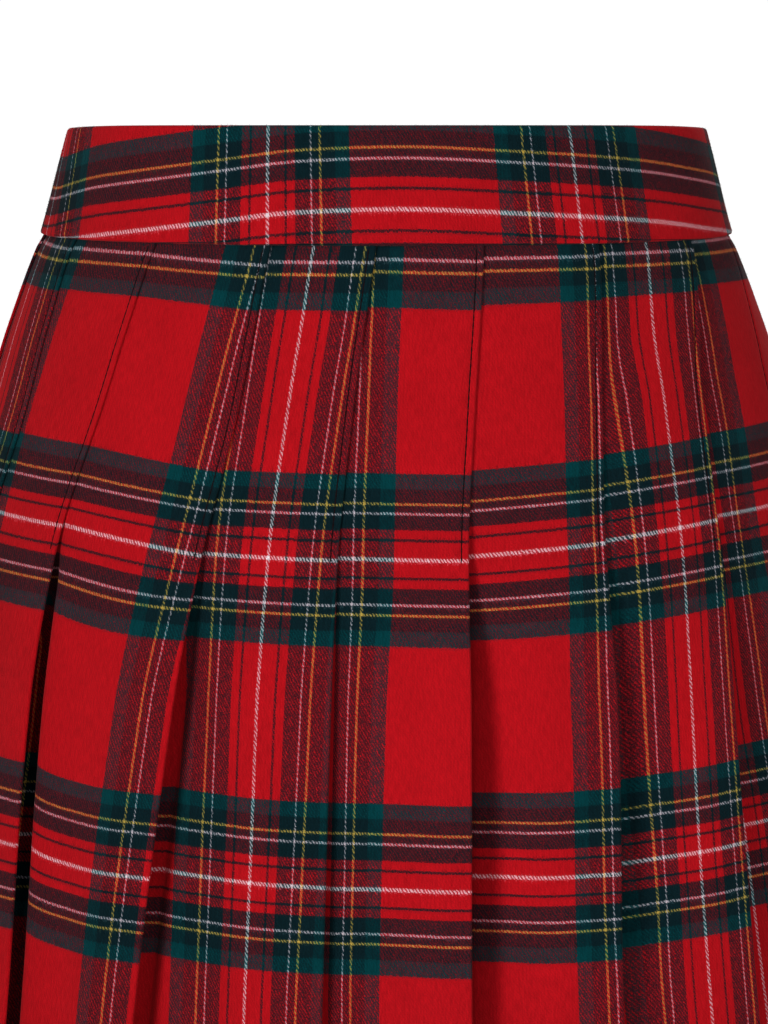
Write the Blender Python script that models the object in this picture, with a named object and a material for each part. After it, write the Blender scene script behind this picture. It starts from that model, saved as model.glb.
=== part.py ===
"""Pleated tartan skirt on a shaped waistband, as closed solids in metres.

The frame: +Z up, +X to the right of the front view, the front towards -Y.
The origin is the middle of the waist opening, level with its top edge.
Depths are measured downwards from that edge.
"""
import math
from collections import namedtuple

import bmesh
import bpy
import numpy as np

MM = 0.001

# Lengths of the garment
BAND_DEPTH = 43.5 * MM
STITCH_END = 163.6 * MM
ZIP_END = 205.0 * MM
HEM_DEPTH = 430.0 * MM

# Thicknesses and clearances
WALL = 1.1 * MM
LAYER_GAP = 0.4 * MM
SEAM_GAP = 0.3 * MM
BAND_WALL = 2.8 * MM
BAND_PROUD = 0.3 * MM
BAND_SEGMENTS = 66

# Zip in the middle of the back
ZIP_SLOT = 1.6 * MM
ZIP_FOLD_BACK = 11.0 * MM
TAPE_HALF_WIDTH = 8.8 * MM
TAPE_WALL = 1.0 * MM
TAPE_OFFSET = -4.5 * MM
TAPE_TOP = 21.0 * MM

# Slider and its pull tab
SLIDER_TOP = 6.0 * MM
SLIDER_LENGTH = 12.0 * MM
SLIDER_HALF = 3.4 * MM
SLIDER_PLATE = 1.5 * MM
NECK_HALF = 0.5 * MM
EAR_INNER = 1.9 * MM
EAR_OUTER = 3.1 * MM
PIN_DROP = 5.0 * MM
PIN_STAND = 1.75 * MM
PIN_RADIUS = 0.55 * MM
EYE_RADIUS = 0.85 * MM
EYE_WALL = 0.65 * MM
TAB_HALF = 1.55 * MM
TAB_END_HALF = 2.6 * MM
TAB_LENGTH = 21.0 * MM
TAB_WALL = 1.1 * MM

# Size of the body at each depth, and how far under each pleat its fold reaches
Ring = namedtuple("Ring", "depth half_width front back under_share")
RINGS = (
    Ring(0.0000, 0.1297, 0.0950, 0.0930, 0.80),
    Ring(0.0435, 0.1413, 0.1050, 0.1035, 0.80),
    Ring(0.0695, 0.1508, 0.1090, 0.1100, 0.81),
    Ring(0.0893, 0.1578, 0.1130, 0.1160, 0.82),
    Ring(0.1650, 0.1785, 0.1230, 0.1310, 0.85),
    Ring(0.2500, 0.1930, 0.1330, 0.1430, 0.84),
    Ring(0.3400, 0.2080, 0.1430, 0.1530, 0.78),
    Ring(0.4300, 0.2220, 0.1530, 0.1630, 0.70),
)

# Angle of each front pleat's folded edge at six depths, in degrees from the
# middle of the front, and how far it stands open at the hip and at the hem
FOLD_DEPTHS = (0.0435, 0.1050, 0.1636, 0.2200, 0.3300, 0.4300)
Pleat = namedtuple("Pleat", "name waist tuck stitch_end hip low hem open_hip open_hem dip")
FRONT_PLEATS = (
    Pleat("far_right", -57.6, -58.9, -63.5, -65.5, -64.5, -64.0, 3.0, 6.0, 1.0),
    Pleat("outer_right", -38.0, -41.7, -45.6, -45.9, -43.8, -42.5, 6.0, 9.0, 5.0),
    Pleat("inner_right", -17.5, -19.7, -23.1, -25.3, -27.3, -28.0, 2.5, 5.0, 1.0),
    Pleat("middle", -1.2, -4.0, -5.7, -6.1, -6.6, -7.0, 1.5, 4.0, 0.8),
    Pleat("inner_left", 15.2, 12.3, 10.2, 10.1, 9.2, 8.8, 4.0, 6.0, 2.0),
    Pleat("outer_left", 34.8, 30.9, 28.3, 28.3, 26.2, 25.5, 2.5, 5.0, 1.2),
    Pleat("far_left", 56.9, 49.8, 47.2, 46.3, 44.6, 44.0, 2.5, 5.0, 1.0),
)

# Eleven pleats go on round the back, the sixth of them beside the zip
BACK_PLEATS = 11
ZIP_PLEAT = 12
PLEAT_TOTAL = len(FRONT_PLEATS) + BACK_PLEATS
BackPleat = namedtuple("BackPleat", "uneven open_hip open_hem dip")
BACK_VARIATION = (
    BackPleat(0.02, 3.0, 5.0, 1.0),
    BackPleat(-0.03, 2.0, 4.5, 1.6),
    BackPleat(0.03, 3.6, 6.0, 0.8),
    BackPleat(-0.01, 2.4, 5.0, 1.2),
)
ZIP_UNDER_SHARE = 0.50

# Where the three panels are cut: pleat number
SIDE_CUT_LEFT = 8
SIDE_CUT_RIGHT = 17
SIDE_CUT_PLACE = 0.5

# Depths of the sections the cloth runs through
SECTIONS = (0.0438, 0.0560, 0.0740, 0.0950, 0.1200, 0.1450, 0.1636, 0.1800,
            0.2080, 0.2200, 0.2650, 0.3200, 0.3800, 0.4300)


def clear_scene():
    """Remove everything a new file starts with."""
    for item in list(bpy.data.objects):
        bpy.data.objects.remove(item, do_unlink=True)


def smooth(value, knots, levels):
    """Interpolate without overshoot between rows of a table."""
    knots = np.asarray(knots, dtype=float)
    levels = np.asarray(levels, dtype=float)
    value = min(max(value, knots[0]), knots[-1])
    step = np.diff(knots)
    rise = np.diff(levels) / step
    slope = np.zeros(len(knots))
    slope[0] = rise[0]
    slope[-1] = rise[-1]
    for i in range(1, len(knots) - 1):
        if rise[i - 1] * rise[i] > 0.0:
            before = 2.0 * step[i] + step[i - 1]
            after = step[i] + 2.0 * step[i - 1]
            slope[i] = (before + after) / (before / rise[i - 1] + after / rise[i])
    i = int(min(np.searchsorted(knots, value, side="right") - 1, len(step) - 1))
    t = (value - knots[i]) / step[i]
    low = (1.0 + 2.0 * t) * (1.0 - t) ** 2 * levels[i]
    high = t * t * (3.0 - 2.0 * t) * levels[i + 1]
    ease_in = t * (1.0 - t) ** 2 * step[i] * slope[i]
    ease_out = t * t * (t - 1.0) * step[i] * slope[i + 1]
    return low + high + ease_in + ease_out


class Oval:
    """The closed line the cloth follows at one depth, measured along itself."""

    def __init__(self, depth):
        depths = [row.depth for row in RINGS]
        self.depth = depth
        self.half_width = smooth(depth, depths, [row.half_width for row in RINGS])
        self.front = smooth(depth, depths, [row.front for row in RINGS])
        self.back = smooth(depth, depths, [row.back for row in RINGS])
        self.under_share = smooth(depth, depths, [row.under_share for row in RINGS])
        self.angles = np.radians(np.linspace(-180.0, 180.0, 2881))
        x, y = self._line(self.angles)
        steps = np.hypot(np.diff(x), np.diff(y))
        self.along = np.concatenate(([0.0], np.cumsum(steps)))
        self.along -= np.interp(0.0, self.angles, self.along)
        self.length = self.along[-1] - self.along[0]

    def _line(self, angles):
        reach = np.where(np.abs(angles) <= math.pi / 2.0, self.front, self.back)
        return self.half_width * np.sin(angles), -reach * np.cos(angles)

    def arc_of(self, degrees):
        """Distance along the oval from the middle of the front."""
        return float(np.interp(math.radians(degrees), self.angles, self.along))

    def place(self, arc, offset):
        """Point at a distance along the oval and an offset outwards."""
        half = 0.5 * self.length
        wrapped = (np.asarray(arc) + half) % self.length - half
        angles = np.interp(wrapped, self.along, self.angles)
        x, y = self._line(angles)
        reach = np.where(np.abs(angles) <= math.pi / 2.0, self.front, self.back)
        nx = np.sin(angles) * reach
        ny = -np.cos(angles) * self.half_width
        size = np.hypot(nx, ny)
        offset = np.asarray(offset)
        return np.stack((x + offset * nx / size, y + offset * ny / size), axis=-1)


def fold_arcs(oval):
    """Distances along the oval of all folded edges, first one repeated last."""
    arcs = []
    for row in FRONT_PLEATS:
        levels = (row.waist, row.tuck, row.stitch_end, row.hip, row.low, row.hem)
        arcs.append(oval.arc_of(smooth(oval.depth, FOLD_DEPTHS, levels)))
    last = arcs[0] + oval.length
    anchor = 0.5 * oval.length - ZIP_FOLD_BACK
    first_back = len(FRONT_PLEATS)
    start = arcs[-1]
    before = ZIP_PLEAT - first_back + 1
    for i in range(1, before):
        pitch = (anchor - start) / before
        uneven = BACK_VARIATION[i % len(BACK_VARIATION)].uneven
        arcs.append(start + pitch * (i + uneven))
    arcs.append(anchor)
    after = PLEAT_TOTAL - ZIP_PLEAT
    for i in range(1, after):
        pitch = (last - anchor) / after
        uneven = BACK_VARIATION[i % len(BACK_VARIATION)].uneven
        arcs.append(anchor + pitch * (i + uneven))
    arcs.append(last)
    return arcs


def opening(number, depth):
    """How far the folded edge stands out, and how far the cloth beside it dips."""
    number = number % PLEAT_TOTAL
    if number < len(FRONT_PLEATS):
        row = FRONT_PLEATS[number]
    else:
        row = BACK_VARIATION[number % len(BACK_VARIATION)]
    knots = (BAND_DEPTH, 0.130, STITCH_END, 0.220, HEM_DEPTH)
    stand = smooth(depth, knots, (0.0, 0.0, 0.15 * row.open_hip, row.open_hip, row.open_hem))
    dip = smooth(depth, knots, (0.0, 0.0, 0.2 * row.dip, row.dip, 1.2 * row.dip))
    return stand * MM, dip * MM


def pleat_path(oval, arcs, number):
    """Middle line of one pleat: face, folded edge, way back, inner fold, way on."""
    start = arcs[number - 1]
    pitch = arcs[number] - start
    pace = WALL + LAYER_GAP
    share = oval.under_share
    if number == ZIP_PLEAT + 1:
        share = ZIP_UNDER_SHARE
    stand, dip = opening(number, oval.depth)
    dip_before = opening(number - 1, oval.depth)[1]
    turn = 0.5 * pace / pitch

    def base(f):
        return -0.5 * WALL + pace * (2.0 * f - 1.0) - dip_before * (1.0 - f) ** 3

    def face(f):
        return base(f) + stand * f * f

    def under(f):
        return base(f) - 2.0 * pace - dip * f ** 3

    first = 1.0 - share
    second = first + share * 0.33
    third = first + share * 0.67
    edge = 1.0 - turn
    inner_middle = 0.5 * (face(first) - pace + under(first))
    stations = [
        (0.0, face(0.0)),
        (first, face(first)),
        (second, face(second)),
        (third, face(third)),
        (edge, face(edge)),
        (1.0, face(1.0) - 0.5 * pace),
        (edge, face(edge) - pace),
        (third, face(third) - pace),
        (second, face(second) - pace),
        (first, face(first) - pace),
        (first - turn, inner_middle),
        (first, under(first)),
        (second, under(second)),
        (third, under(third)),
    ]
    arcs_along = np.array([start + pitch * f for f, offset in stations])
    offsets = np.array([offset for f, offset in stations])
    return list(oval.place(arcs_along, offsets))


def cut_point(a, b, place, gap):
    """Point part of the way between two others, moved along by a gap."""
    run = b - a
    return a + run * place + run / np.linalg.norm(run) * gap


def zip_gap(depth):
    """Width of the opening at the middle of the back."""
    return smooth(depth, (0.0, ZIP_END - 0.001, ZIP_END + 0.012, HEM_DEPTH),
                  (ZIP_SLOT, ZIP_SLOT, SEAM_GAP, SEAM_GAP))


def panel_paths(depth):
    """Middle lines of the three panels at one depth."""
    oval = Oval(depth)
    arcs = fold_arcs(oval)
    pleats = {}
    for number in range(1, PLEAT_TOTAL + 1):
        pleats[number] = pleat_path(oval, arcs, number)
    half = 0.5 * SEAM_GAP
    slot = 0.5 * zip_gap(depth)

    def side_cut(number, gap):
        return cut_point(pleats[number][12], pleats[number][13], SIDE_CUT_PLACE, gap)

    def back_cut(gap):
        a = pleats[ZIP_PLEAT + 1][0]
        b = pleats[ZIP_PLEAT + 1][1]
        return cut_point(a, b, a[0] / (a[0] - b[0]), gap)

    front = [side_cut(SIDE_CUT_RIGHT, half), pleats[SIDE_CUT_RIGHT][13]]
    front += pleats[PLEAT_TOTAL]
    for number in range(1, SIDE_CUT_LEFT):
        front += pleats[number]
    front += pleats[SIDE_CUT_LEFT][:13]
    front.append(side_cut(SIDE_CUT_LEFT, -half))

    back_left = [side_cut(SIDE_CUT_LEFT, half), pleats[SIDE_CUT_LEFT][13]]
    for number in range(SIDE_CUT_LEFT + 1, ZIP_PLEAT + 1):
        back_left += pleats[number]
    back_left += pleats[ZIP_PLEAT + 1][:1]
    back_left.append(back_cut(-slot))

    back_right = [back_cut(slot)] + pleats[ZIP_PLEAT + 1][1:]
    for number in range(ZIP_PLEAT + 2, SIDE_CUT_RIGHT):
        back_right += pleats[number]
    back_right += pleats[SIDE_CUT_RIGHT][:13]
    back_right.append(side_cut(SIDE_CUT_RIGHT, -half))
    return {"front": front, "back_left": back_left, "back_right": back_right}


def wall_sides(points, thickness):
    """Offset an open line both ways by half a thickness, cutting sharp corners."""
    points = np.asarray(points)
    steps = np.diff(points, axis=0)
    steps /= np.linalg.norm(steps, axis=1)[:, None]
    normals = np.stack((steps[:, 1], -steps[:, 0]), axis=1)
    before = np.vstack((normals[:1], normals))
    after = np.vstack((normals, normals[-1:]))
    total = before + after
    mitre = total / (1.0 + np.sum(before * after, axis=1))[:, None]
    size = np.linalg.norm(mitre, axis=1)
    turn = before[:, 0] * after[:, 1] - before[:, 1] * after[:, 0]
    blunt = mitre / np.maximum(size / 1.06, 1.0)[:, None]
    outer = np.where((turn > 0.0)[:, None], blunt, mitre)
    inner = np.where((turn < 0.0)[:, None], blunt, mitre)
    half = np.asarray(thickness) * 0.5
    return points + outer * half, points - inner * half


def new_object(name, verts, faces, colour, roughness):
    """One closed solid with its own material."""
    mesh = bpy.data.meshes.new(name)
    mesh.from_pydata([tuple(v) for v in verts], [], faces)
    obj = bpy.data.objects.new(name, mesh)
    bpy.context.scene.collection.objects.link(obj)
    work = bmesh.new()
    work.from_mesh(mesh)
    bmesh.ops.recalc_face_normals(work, faces=work.faces)
    if work.calc_volume(signed=True) < 0.0:
        bmesh.ops.reverse_faces(work, faces=work.faces)
    work.to_mesh(mesh)
    work.free()
    mesh.shade_smooth()
    mesh.set_sharp_from_angle(angle=math.radians(40.0))
    material = bpy.data.materials.new(name + "_finish")
    material.use_nodes = True
    shader = material.node_tree.nodes["Principled BSDF"]
    shader.inputs["Base Color"].default_value = colour
    shader.inputs["Roughness"].default_value = roughness
    mesh.materials.append(material)
    return obj


def lofted_wall(name, rows, colour, roughness=0.9):
    """Solid through rows of (outer points, inner points), each with its height."""
    count = len(rows[0][0])
    verts = []
    for outer, inner, height in rows:
        verts += [(p[0], p[1], height) for p in outer]
        verts += [(p[0], p[1], height) for p in inner]
    faces = []

    def quad(a, b, c, d):
        faces.append((a, b, c))
        faces.append((a, c, d))

    for r in range(len(rows) - 1):
        top = r * 2 * count
        low = top + 2 * count
        for i in range(count - 1):
            quad(top + i, low + i, low + i + 1, top + i + 1)
            quad(top + count + i + 1, low + count + i + 1, low + count + i, top + count + i)
        quad(top + count, low + count, low, top)
        end = count - 1
        quad(top + end, low + end, low + count + end, top + count + end)
    last = (len(rows) - 1) * 2 * count
    for i in range(count - 1):
        quad(i, i + 1, count + i + 1, count + i)
        quad(last + count + i, last + count + i + 1, last + i + 1, last + i)
    return new_object(name, verts, faces, colour, roughness)


def build_panels(cloth):
    """The three pleated panels below the waistband."""
    rows = {"front": [], "back_left": [], "back_right": []}
    for depth in SECTIONS:
        for name, path in panel_paths(depth).items():
            outer, inner = wall_sides(np.array(path), WALL)
            rows[name].append((outer, inner, -depth))
    for name, sections in rows.items():
        lofted_wall(name, sections, cloth)


def build_waistband(cloth):
    """Three pieces of shaped band, joined at the sides and open at the back."""
    profile = ((0.0, 0.45), (0.0009, 0.86), (0.0024, 1.0), (0.0150, 1.0),
               (0.0290, 1.0), (0.0422, 1.0), (BAND_DEPTH, 0.75))
    slot = 0.5 * ZIP_SLOT
    half = 0.5 * SEAM_GAP
    rows = {"waistband_front": [], "waistband_back_left": [], "waistband_back_right": []}
    for depth, share in profile:
        oval = Oval(depth)
        quarter = oval.arc_of(90.0)
        end = 0.5 * oval.length
        spans = {
            "waistband_front": (-quarter + half, quarter - half, BAND_SEGMENTS // 2),
            "waistband_back_left": (quarter + half, end - slot, BAND_SEGMENTS // 4),
            "waistband_back_right": (-end + slot, -quarter - half, BAND_SEGMENTS // 4),
        }
        middle = BAND_PROUD - 0.5 * BAND_WALL
        for name, (start, stop, count) in spans.items():
            arcs = np.linspace(start, stop, count + 1)
            outer = oval.place(arcs, middle + 0.5 * BAND_WALL * share)
            inner = oval.place(arcs, middle - 0.5 * BAND_WALL * share)
            rows[name].append((outer, inner, -depth))
    for name, sections in rows.items():
        lofted_wall(name, sections, cloth)


def build_tape(colour):
    """Zip tape with its closed coil, behind the two edges at the back."""
    rows = []
    for depth in np.linspace(TAPE_TOP, ZIP_END, 9):
        oval = Oval(float(depth))
        middle = 0.5 * oval.length
        arcs = middle + np.array((-1.0, -0.5, 0.0, 0.5, 1.0)) * TAPE_HALF_WIDTH
        outer = oval.place(arcs, TAPE_OFFSET + 0.5 * TAPE_WALL)
        inner = oval.place(arcs, TAPE_OFFSET - 0.5 * TAPE_WALL)
        rows.append((outer, inner, -float(depth)))
    return lofted_wall("zip_tape", rows, colour, 0.8)


def box_mesh(work, low, high):
    """Add a box between two corners."""
    made = bmesh.ops.create_cube(work, size=1.0)
    for vert in made["verts"]:
        for axis in range(3):
            middle = 0.5 * (low[axis] + high[axis])
            vert.co[axis] = middle + vert.co[axis] * (high[axis] - low[axis])
    return made["verts"]


def cross_rod(work, radius, half, y, z, sides=20):
    """Add a rod along X."""
    rings = []
    for x in (-half, half):
        ring = []
        for i in range(sides):
            angle = 2.0 * math.pi * i / sides
            ring.append(work.verts.new((x, y + radius * math.cos(angle),
                                        z + radius * math.sin(angle))))
        rings.append(ring)
    for i in range(sides):
        j = (i + 1) % sides
        work.faces.new((rings[0][i], rings[0][j], rings[1][j], rings[1][i]))
    work.faces.new(rings[0][::-1])
    work.faces.new(rings[1])


def object_from(work, name, colour, metallic):
    """Turn a bmesh into an object with a metal finish."""
    bmesh.ops.recalc_face_normals(work, faces=work.faces)
    mesh = bpy.data.meshes.new(name)
    work.to_mesh(mesh)
    work.free()
    obj = bpy.data.objects.new(name, mesh)
    bpy.context.scene.collection.objects.link(obj)
    material = bpy.data.materials.new(name + "_finish")
    material.use_nodes = True
    shader = material.node_tree.nodes["Principled BSDF"]
    shader.inputs["Base Color"].default_value = colour
    shader.inputs["Metallic"].default_value = metallic
    shader.inputs["Roughness"].default_value = 0.35
    mesh.materials.append(material)
    return obj


def apply_boolean(target, tool, operation):
    """Exact Boolean, the tool removed afterwards."""
    modifier = target.modifiers.new("cut", "BOOLEAN")
    modifier.operation = operation
    modifier.solver = "EXACT"
    modifier.object = tool
    graph = bpy.context.evaluated_depsgraph_get()
    result = bpy.data.meshes.new_from_object(target.evaluated_get(graph))
    target.modifiers.clear()
    material = target.data.materials[0]
    target.data = result
    result.name = target.name
    result.materials.clear()
    result.materials.append(material)
    bpy.data.objects.remove(tool, do_unlink=True)


def build_slider(colour):
    """Slider parked at the top: plate outside, neck in the slot, plate inside."""
    top = -SLIDER_TOP
    low = top - SLIDER_LENGTH
    lean = (Oval(SLIDER_TOP + SLIDER_LENGTH).back - Oval(SLIDER_TOP).back) / SLIDER_LENGTH
    wall_out = Oval(SLIDER_TOP).back + BAND_PROUD + 0.5 * MM
    wall_in = Oval(SLIDER_TOP).back + BAND_PROUD - BAND_WALL - 0.5 * MM
    plate = wall_out + SLIDER_PLATE
    pin_y = plate + PIN_STAND
    pin_z = top - PIN_DROP

    def solid(name, parts):
        work = bmesh.new()
        for start, end in parts:
            box_mesh(work, start, end)
        return object_from(work, name, colour, 1.0)

    slider = solid("zip_slider", [((-SLIDER_HALF, wall_out, low), (SLIDER_HALF, plate, top))])
    inside = solid("inside", [((-SLIDER_HALF, wall_in - SLIDER_PLATE, low),
                               (SLIDER_HALF, wall_in, top))])
    neck = solid("neck", [((-NECK_HALF, wall_in - 0.4 * MM, low + 4.0 * MM),
                           (NECK_HALF, wall_out + 0.4 * MM, top - 1.0 * MM))])
    apply_boolean(slider, neck, "UNION")
    apply_boolean(slider, inside, "UNION")
    for side in (-1.0, 1.0):
        near = side * EAR_INNER
        far = side * EAR_OUTER
        work = bmesh.new()
        box_mesh(work, (min(near, far), plate - 0.3 * MM, pin_z - 1.4 * MM),
                 (max(near, far), pin_y + 1.1 * MM, pin_z + 1.4 * MM))
        ear = object_from(work, "ear", colour, 1.0)
        apply_boolean(slider, ear, "UNION")
    work = bmesh.new()
    cross_rod(work, PIN_RADIUS, EAR_INNER + 0.4 * MM, pin_y, pin_z)
    pin = object_from(work, "pin", colour, 1.0)
    apply_boolean(slider, pin, "UNION")
    for vert in slider.data.vertices:
        vert.co.y += lean * (top - vert.co.z)
    pin_y += lean * (top - pin_z)
    return slider, pin_y, pin_z


def build_tab(colour, pin_y, pin_z, lean):
    """Pull tab on the slider's pin, hanging down along the wall."""
    outer = EYE_RADIUS + EYE_WALL
    work = bmesh.new()
    cross_rod(work, outer, TAB_HALF, 0.0, 0.0, 24)
    tab = object_from(work, "zip_pull_tab", colour, 1.0)
    work = bmesh.new()
    outline = (
        (-TAB_HALF, -0.9 * MM), (TAB_HALF, -0.9 * MM),
        (TAB_HALF, -5.0 * MM), (TAB_END_HALF, -9.0 * MM),
        (TAB_END_HALF, -TAB_LENGTH + 2.0 * MM), (TAB_END_HALF - 1.2 * MM, -TAB_LENGTH),
        (-TAB_END_HALF + 1.2 * MM, -TAB_LENGTH), (-TAB_END_HALF, -TAB_LENGTH + 2.0 * MM),
        (-TAB_END_HALF, -9.0 * MM), (-TAB_HALF, -5.0 * MM),
    )
    sides = []
    for y in (-0.5 * TAB_WALL, 0.5 * TAB_WALL):
        sides.append([work.verts.new((x, y, z)) for x, z in outline])
    count = len(outline)
    for i in range(count):
        j = (i + 1) % count
        work.faces.new((sides[0][i], sides[0][j], sides[1][j], sides[1][i]))
    work.faces.new(sides[0][::-1])
    work.faces.new(sides[1])
    blade = object_from(work, "blade", colour, 1.0)
    apply_boolean(tab, blade, "UNION")
    work = bmesh.new()
    cross_rod(work, EYE_RADIUS, TAB_HALF + 1.0 * MM, 0.0, 0.0, 24)
    hole = object_from(work, "hole", colour, 1.0)
    apply_boolean(tab, hole, "DIFFERENCE")
    angle = math.atan(lean)
    cosine = math.cos(angle)
    sine = math.sin(angle)
    for vert in tab.data.vertices:
        y = vert.co.y
        z = vert.co.z
        vert.co.y = y * cosine - z * sine
        vert.co.z = y * sine + z * cosine
    tab.location = (0.0, pin_y, pin_z)
    return tab


def main():
    """Build every piece of the skirt."""
    clear_scene()
    cloth = (0.42, 0.02, 0.03, 1.0)
    build_panels(cloth)
    build_waistband((0.36, 0.03, 0.04, 1.0))
    build_tape((0.02, 0.02, 0.025, 1.0))
    metal = (0.25, 0.25, 0.26, 1.0)
    pin = build_slider(metal)
    lean = (Oval(0.045).back - Oval(0.010).back) / 0.035
    build_tab(metal, pin[1], pin[2], lean)


main()
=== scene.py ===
"""Studio picture of a pleated tartan skirt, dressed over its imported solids.

The cloth is laid over the solids as thin shells.

Sizes are in metres unless a table says otherwise. Depths are measured down from
the waistband's top edge, and angles from the middle of the front towards the
wearer's left.
"""
import logging
import math
from dataclasses import dataclass
from enum import Enum
from typing import Dict, List, Optional, Sequence, Tuple

import bmesh
import bpy
import numpy as np
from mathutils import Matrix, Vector


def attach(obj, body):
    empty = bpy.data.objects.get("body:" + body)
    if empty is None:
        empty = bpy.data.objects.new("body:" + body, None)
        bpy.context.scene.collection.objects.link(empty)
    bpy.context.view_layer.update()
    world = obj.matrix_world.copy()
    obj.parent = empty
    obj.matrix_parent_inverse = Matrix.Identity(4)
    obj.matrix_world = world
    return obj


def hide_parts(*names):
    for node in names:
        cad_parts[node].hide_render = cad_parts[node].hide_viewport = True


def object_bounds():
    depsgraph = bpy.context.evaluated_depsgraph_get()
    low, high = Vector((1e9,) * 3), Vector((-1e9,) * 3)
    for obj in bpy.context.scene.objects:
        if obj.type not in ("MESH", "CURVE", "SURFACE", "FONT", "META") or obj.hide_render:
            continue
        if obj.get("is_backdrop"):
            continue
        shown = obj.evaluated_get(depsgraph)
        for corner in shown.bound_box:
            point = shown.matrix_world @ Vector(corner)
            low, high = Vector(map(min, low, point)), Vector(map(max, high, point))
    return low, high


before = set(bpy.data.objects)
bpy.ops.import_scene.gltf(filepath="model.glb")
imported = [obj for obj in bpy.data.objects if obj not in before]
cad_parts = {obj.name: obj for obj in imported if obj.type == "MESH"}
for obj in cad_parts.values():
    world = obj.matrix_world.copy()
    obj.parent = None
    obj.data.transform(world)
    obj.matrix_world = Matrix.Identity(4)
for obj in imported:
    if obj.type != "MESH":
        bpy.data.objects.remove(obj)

LOG = logging.getLogger("skirt")
MM = 0.001
# One repeat of the check: in metres, in threads, and in the parts that the tables count.
REPEAT = 0.1249
WARP_THREADS = 384
WEFT_THREADS = 256
SETT = 330.5
# Lower edge of the waistband, below its top edge.
BAND_DEPTH = 0.0435
SKIRT_BODY = "skirt"
TAB_BODY = "pull_tab"

Colour = Tuple[float, float, float]


# Interpolation and the ovals that the cloth follows

def smooth(value: np.ndarray, knots: Sequence[float], levels: Sequence[float]) -> np.ndarray:
    """Interpolate without overshoot between the rows of a table.

    Args:
        value: Places to read, of any shape.
        knots: Rising places of the table's rows.
        levels: Values of the rows.

    Returns:
        The values at those places.
    """
    x = np.asarray(knots, dtype=float)
    y = np.asarray(levels, dtype=float)
    at = np.clip(np.asarray(value, dtype=float), x[0], x[-1])
    step = np.diff(x)
    rise = np.diff(y) / step
    slope = np.zeros(len(x))
    slope[0], slope[-1] = rise[0], rise[-1]
    for i in range(1, len(x) - 1):
        if rise[i - 1] * rise[i] > 0.0:
            before = 2.0 * step[i] + step[i - 1]
            after = step[i] + 2.0 * step[i - 1]
            slope[i] = (before + after) / (before / rise[i - 1] + after / rise[i])
    i = np.clip(np.searchsorted(x, at, side="right") - 1, 0, len(step) - 1)
    t = (at - x[i]) / step[i]
    ends = (1.0 + 2.0 * t) * (1.0 - t) ** 2 * y[i] + t * t * (3.0 - 2.0 * t) * y[i + 1]
    tangents = t * (1.0 - t) ** 2 * slope[i] + t * t * (t - 1.0) * slope[i + 1]
    return ends + tangents * step[i]


@dataclass(frozen=True)
class OvalRow:
    """Size of the body at one depth below the waistband's top edge."""

    depth: float
    half_width: float
    front: float
    back: float
    under_share: float


OVALS: Tuple[OvalRow, ...] = (
    OvalRow(0.0000, 0.1297, 0.0950, 0.0930, 0.80),
    OvalRow(0.0435, 0.1413, 0.1050, 0.1035, 0.80),
    OvalRow(0.0695, 0.1508, 0.1090, 0.1100, 0.81),
    OvalRow(0.0893, 0.1578, 0.1130, 0.1160, 0.82),
    OvalRow(0.1650, 0.1785, 0.1230, 0.1310, 0.85),
    OvalRow(0.2500, 0.1930, 0.1330, 0.1430, 0.84),
    OvalRow(0.3400, 0.2080, 0.1430, 0.1530, 0.78),
    OvalRow(0.4300, 0.2220, 0.1530, 0.1630, 0.70),
)


class Oval:
    """The closed line that the cloth follows at one depth, measured along itself."""

    def __init__(self, depth: float) -> None:
        """Work out the oval of one depth.

        Args:
            depth: Metres below the top edge.
        """
        depths = [row.depth for row in OVALS]
        self.depth = depth
        self.half_width, self.front, self.back, self.under_share = (
            float(smooth(depth, depths, [getattr(row, size) for row in OVALS]))
            for size in ("half_width", "front", "back", "under_share"))
        self.angles = np.radians(np.linspace(-180.0, 180.0, 2881))
        x, y = self._line(self.angles)
        along = np.concatenate(([0.0], np.cumsum(np.hypot(np.diff(x), np.diff(y)))))
        self.along = along - np.interp(0.0, self.angles, along)
        self.length = float(self.along[-1] - self.along[0])

    def _reach(self, angles: np.ndarray) -> np.ndarray:
        """Half depth of the oval on the side of each angle."""
        return np.where(np.abs(angles) <= math.pi / 2.0, self.front, self.back)

    def _line(self, angles: np.ndarray) -> Tuple[np.ndarray, np.ndarray]:
        """X and Y of the oval at each angle."""
        return self.half_width * np.sin(angles), -self._reach(angles) * np.cos(angles)

    def arc_of(self, degrees: float) -> float:
        """Distance along the oval from the middle of the front to an angle."""
        return float(np.interp(math.radians(degrees), self.angles, self.along))

    def place(self, arc: np.ndarray, offset: np.ndarray) -> np.ndarray:
        """Points at distances along the oval and offsets outwards.

        Args:
            arc: Distances along the oval from the middle of the front, in metres.
            offset: Offsets outwards, in metres.

        Returns:
            Rows of X and Y.
        """
        half = 0.5 * self.length
        wrapped = (np.asarray(arc) + half) % self.length - half
        angles = np.interp(wrapped, self.along, self.angles)
        x, y = self._line(angles)
        nx = np.sin(angles) * self._reach(angles)
        ny = -np.cos(angles) * self.half_width
        size = np.hypot(nx, ny)
        return np.stack((x + offset * nx / size, y + offset * ny / size), axis=-1)


# The pleats

@dataclass(frozen=True)
class FrontPleat:
    """A pleat of the front: its folded edge at six depths and how it opens.

    open_hip and open_hem are how far the folded edge stands out, dip how far
    the cloth beside it draws in, and slot how deep the shadow next to it is,
    all in millimetres.
    """

    name: str
    angles: Tuple[float, float, float, float, float, float]
    open_hip: float
    open_hem: float
    dip: float
    slot: float


@dataclass(frozen=True)
class BackPleat:
    """How a pleat of the back departs from an even spacing, and how it opens."""

    uneven: float
    open_hip: float
    open_hem: float
    dip: float
    slot: float


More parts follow.
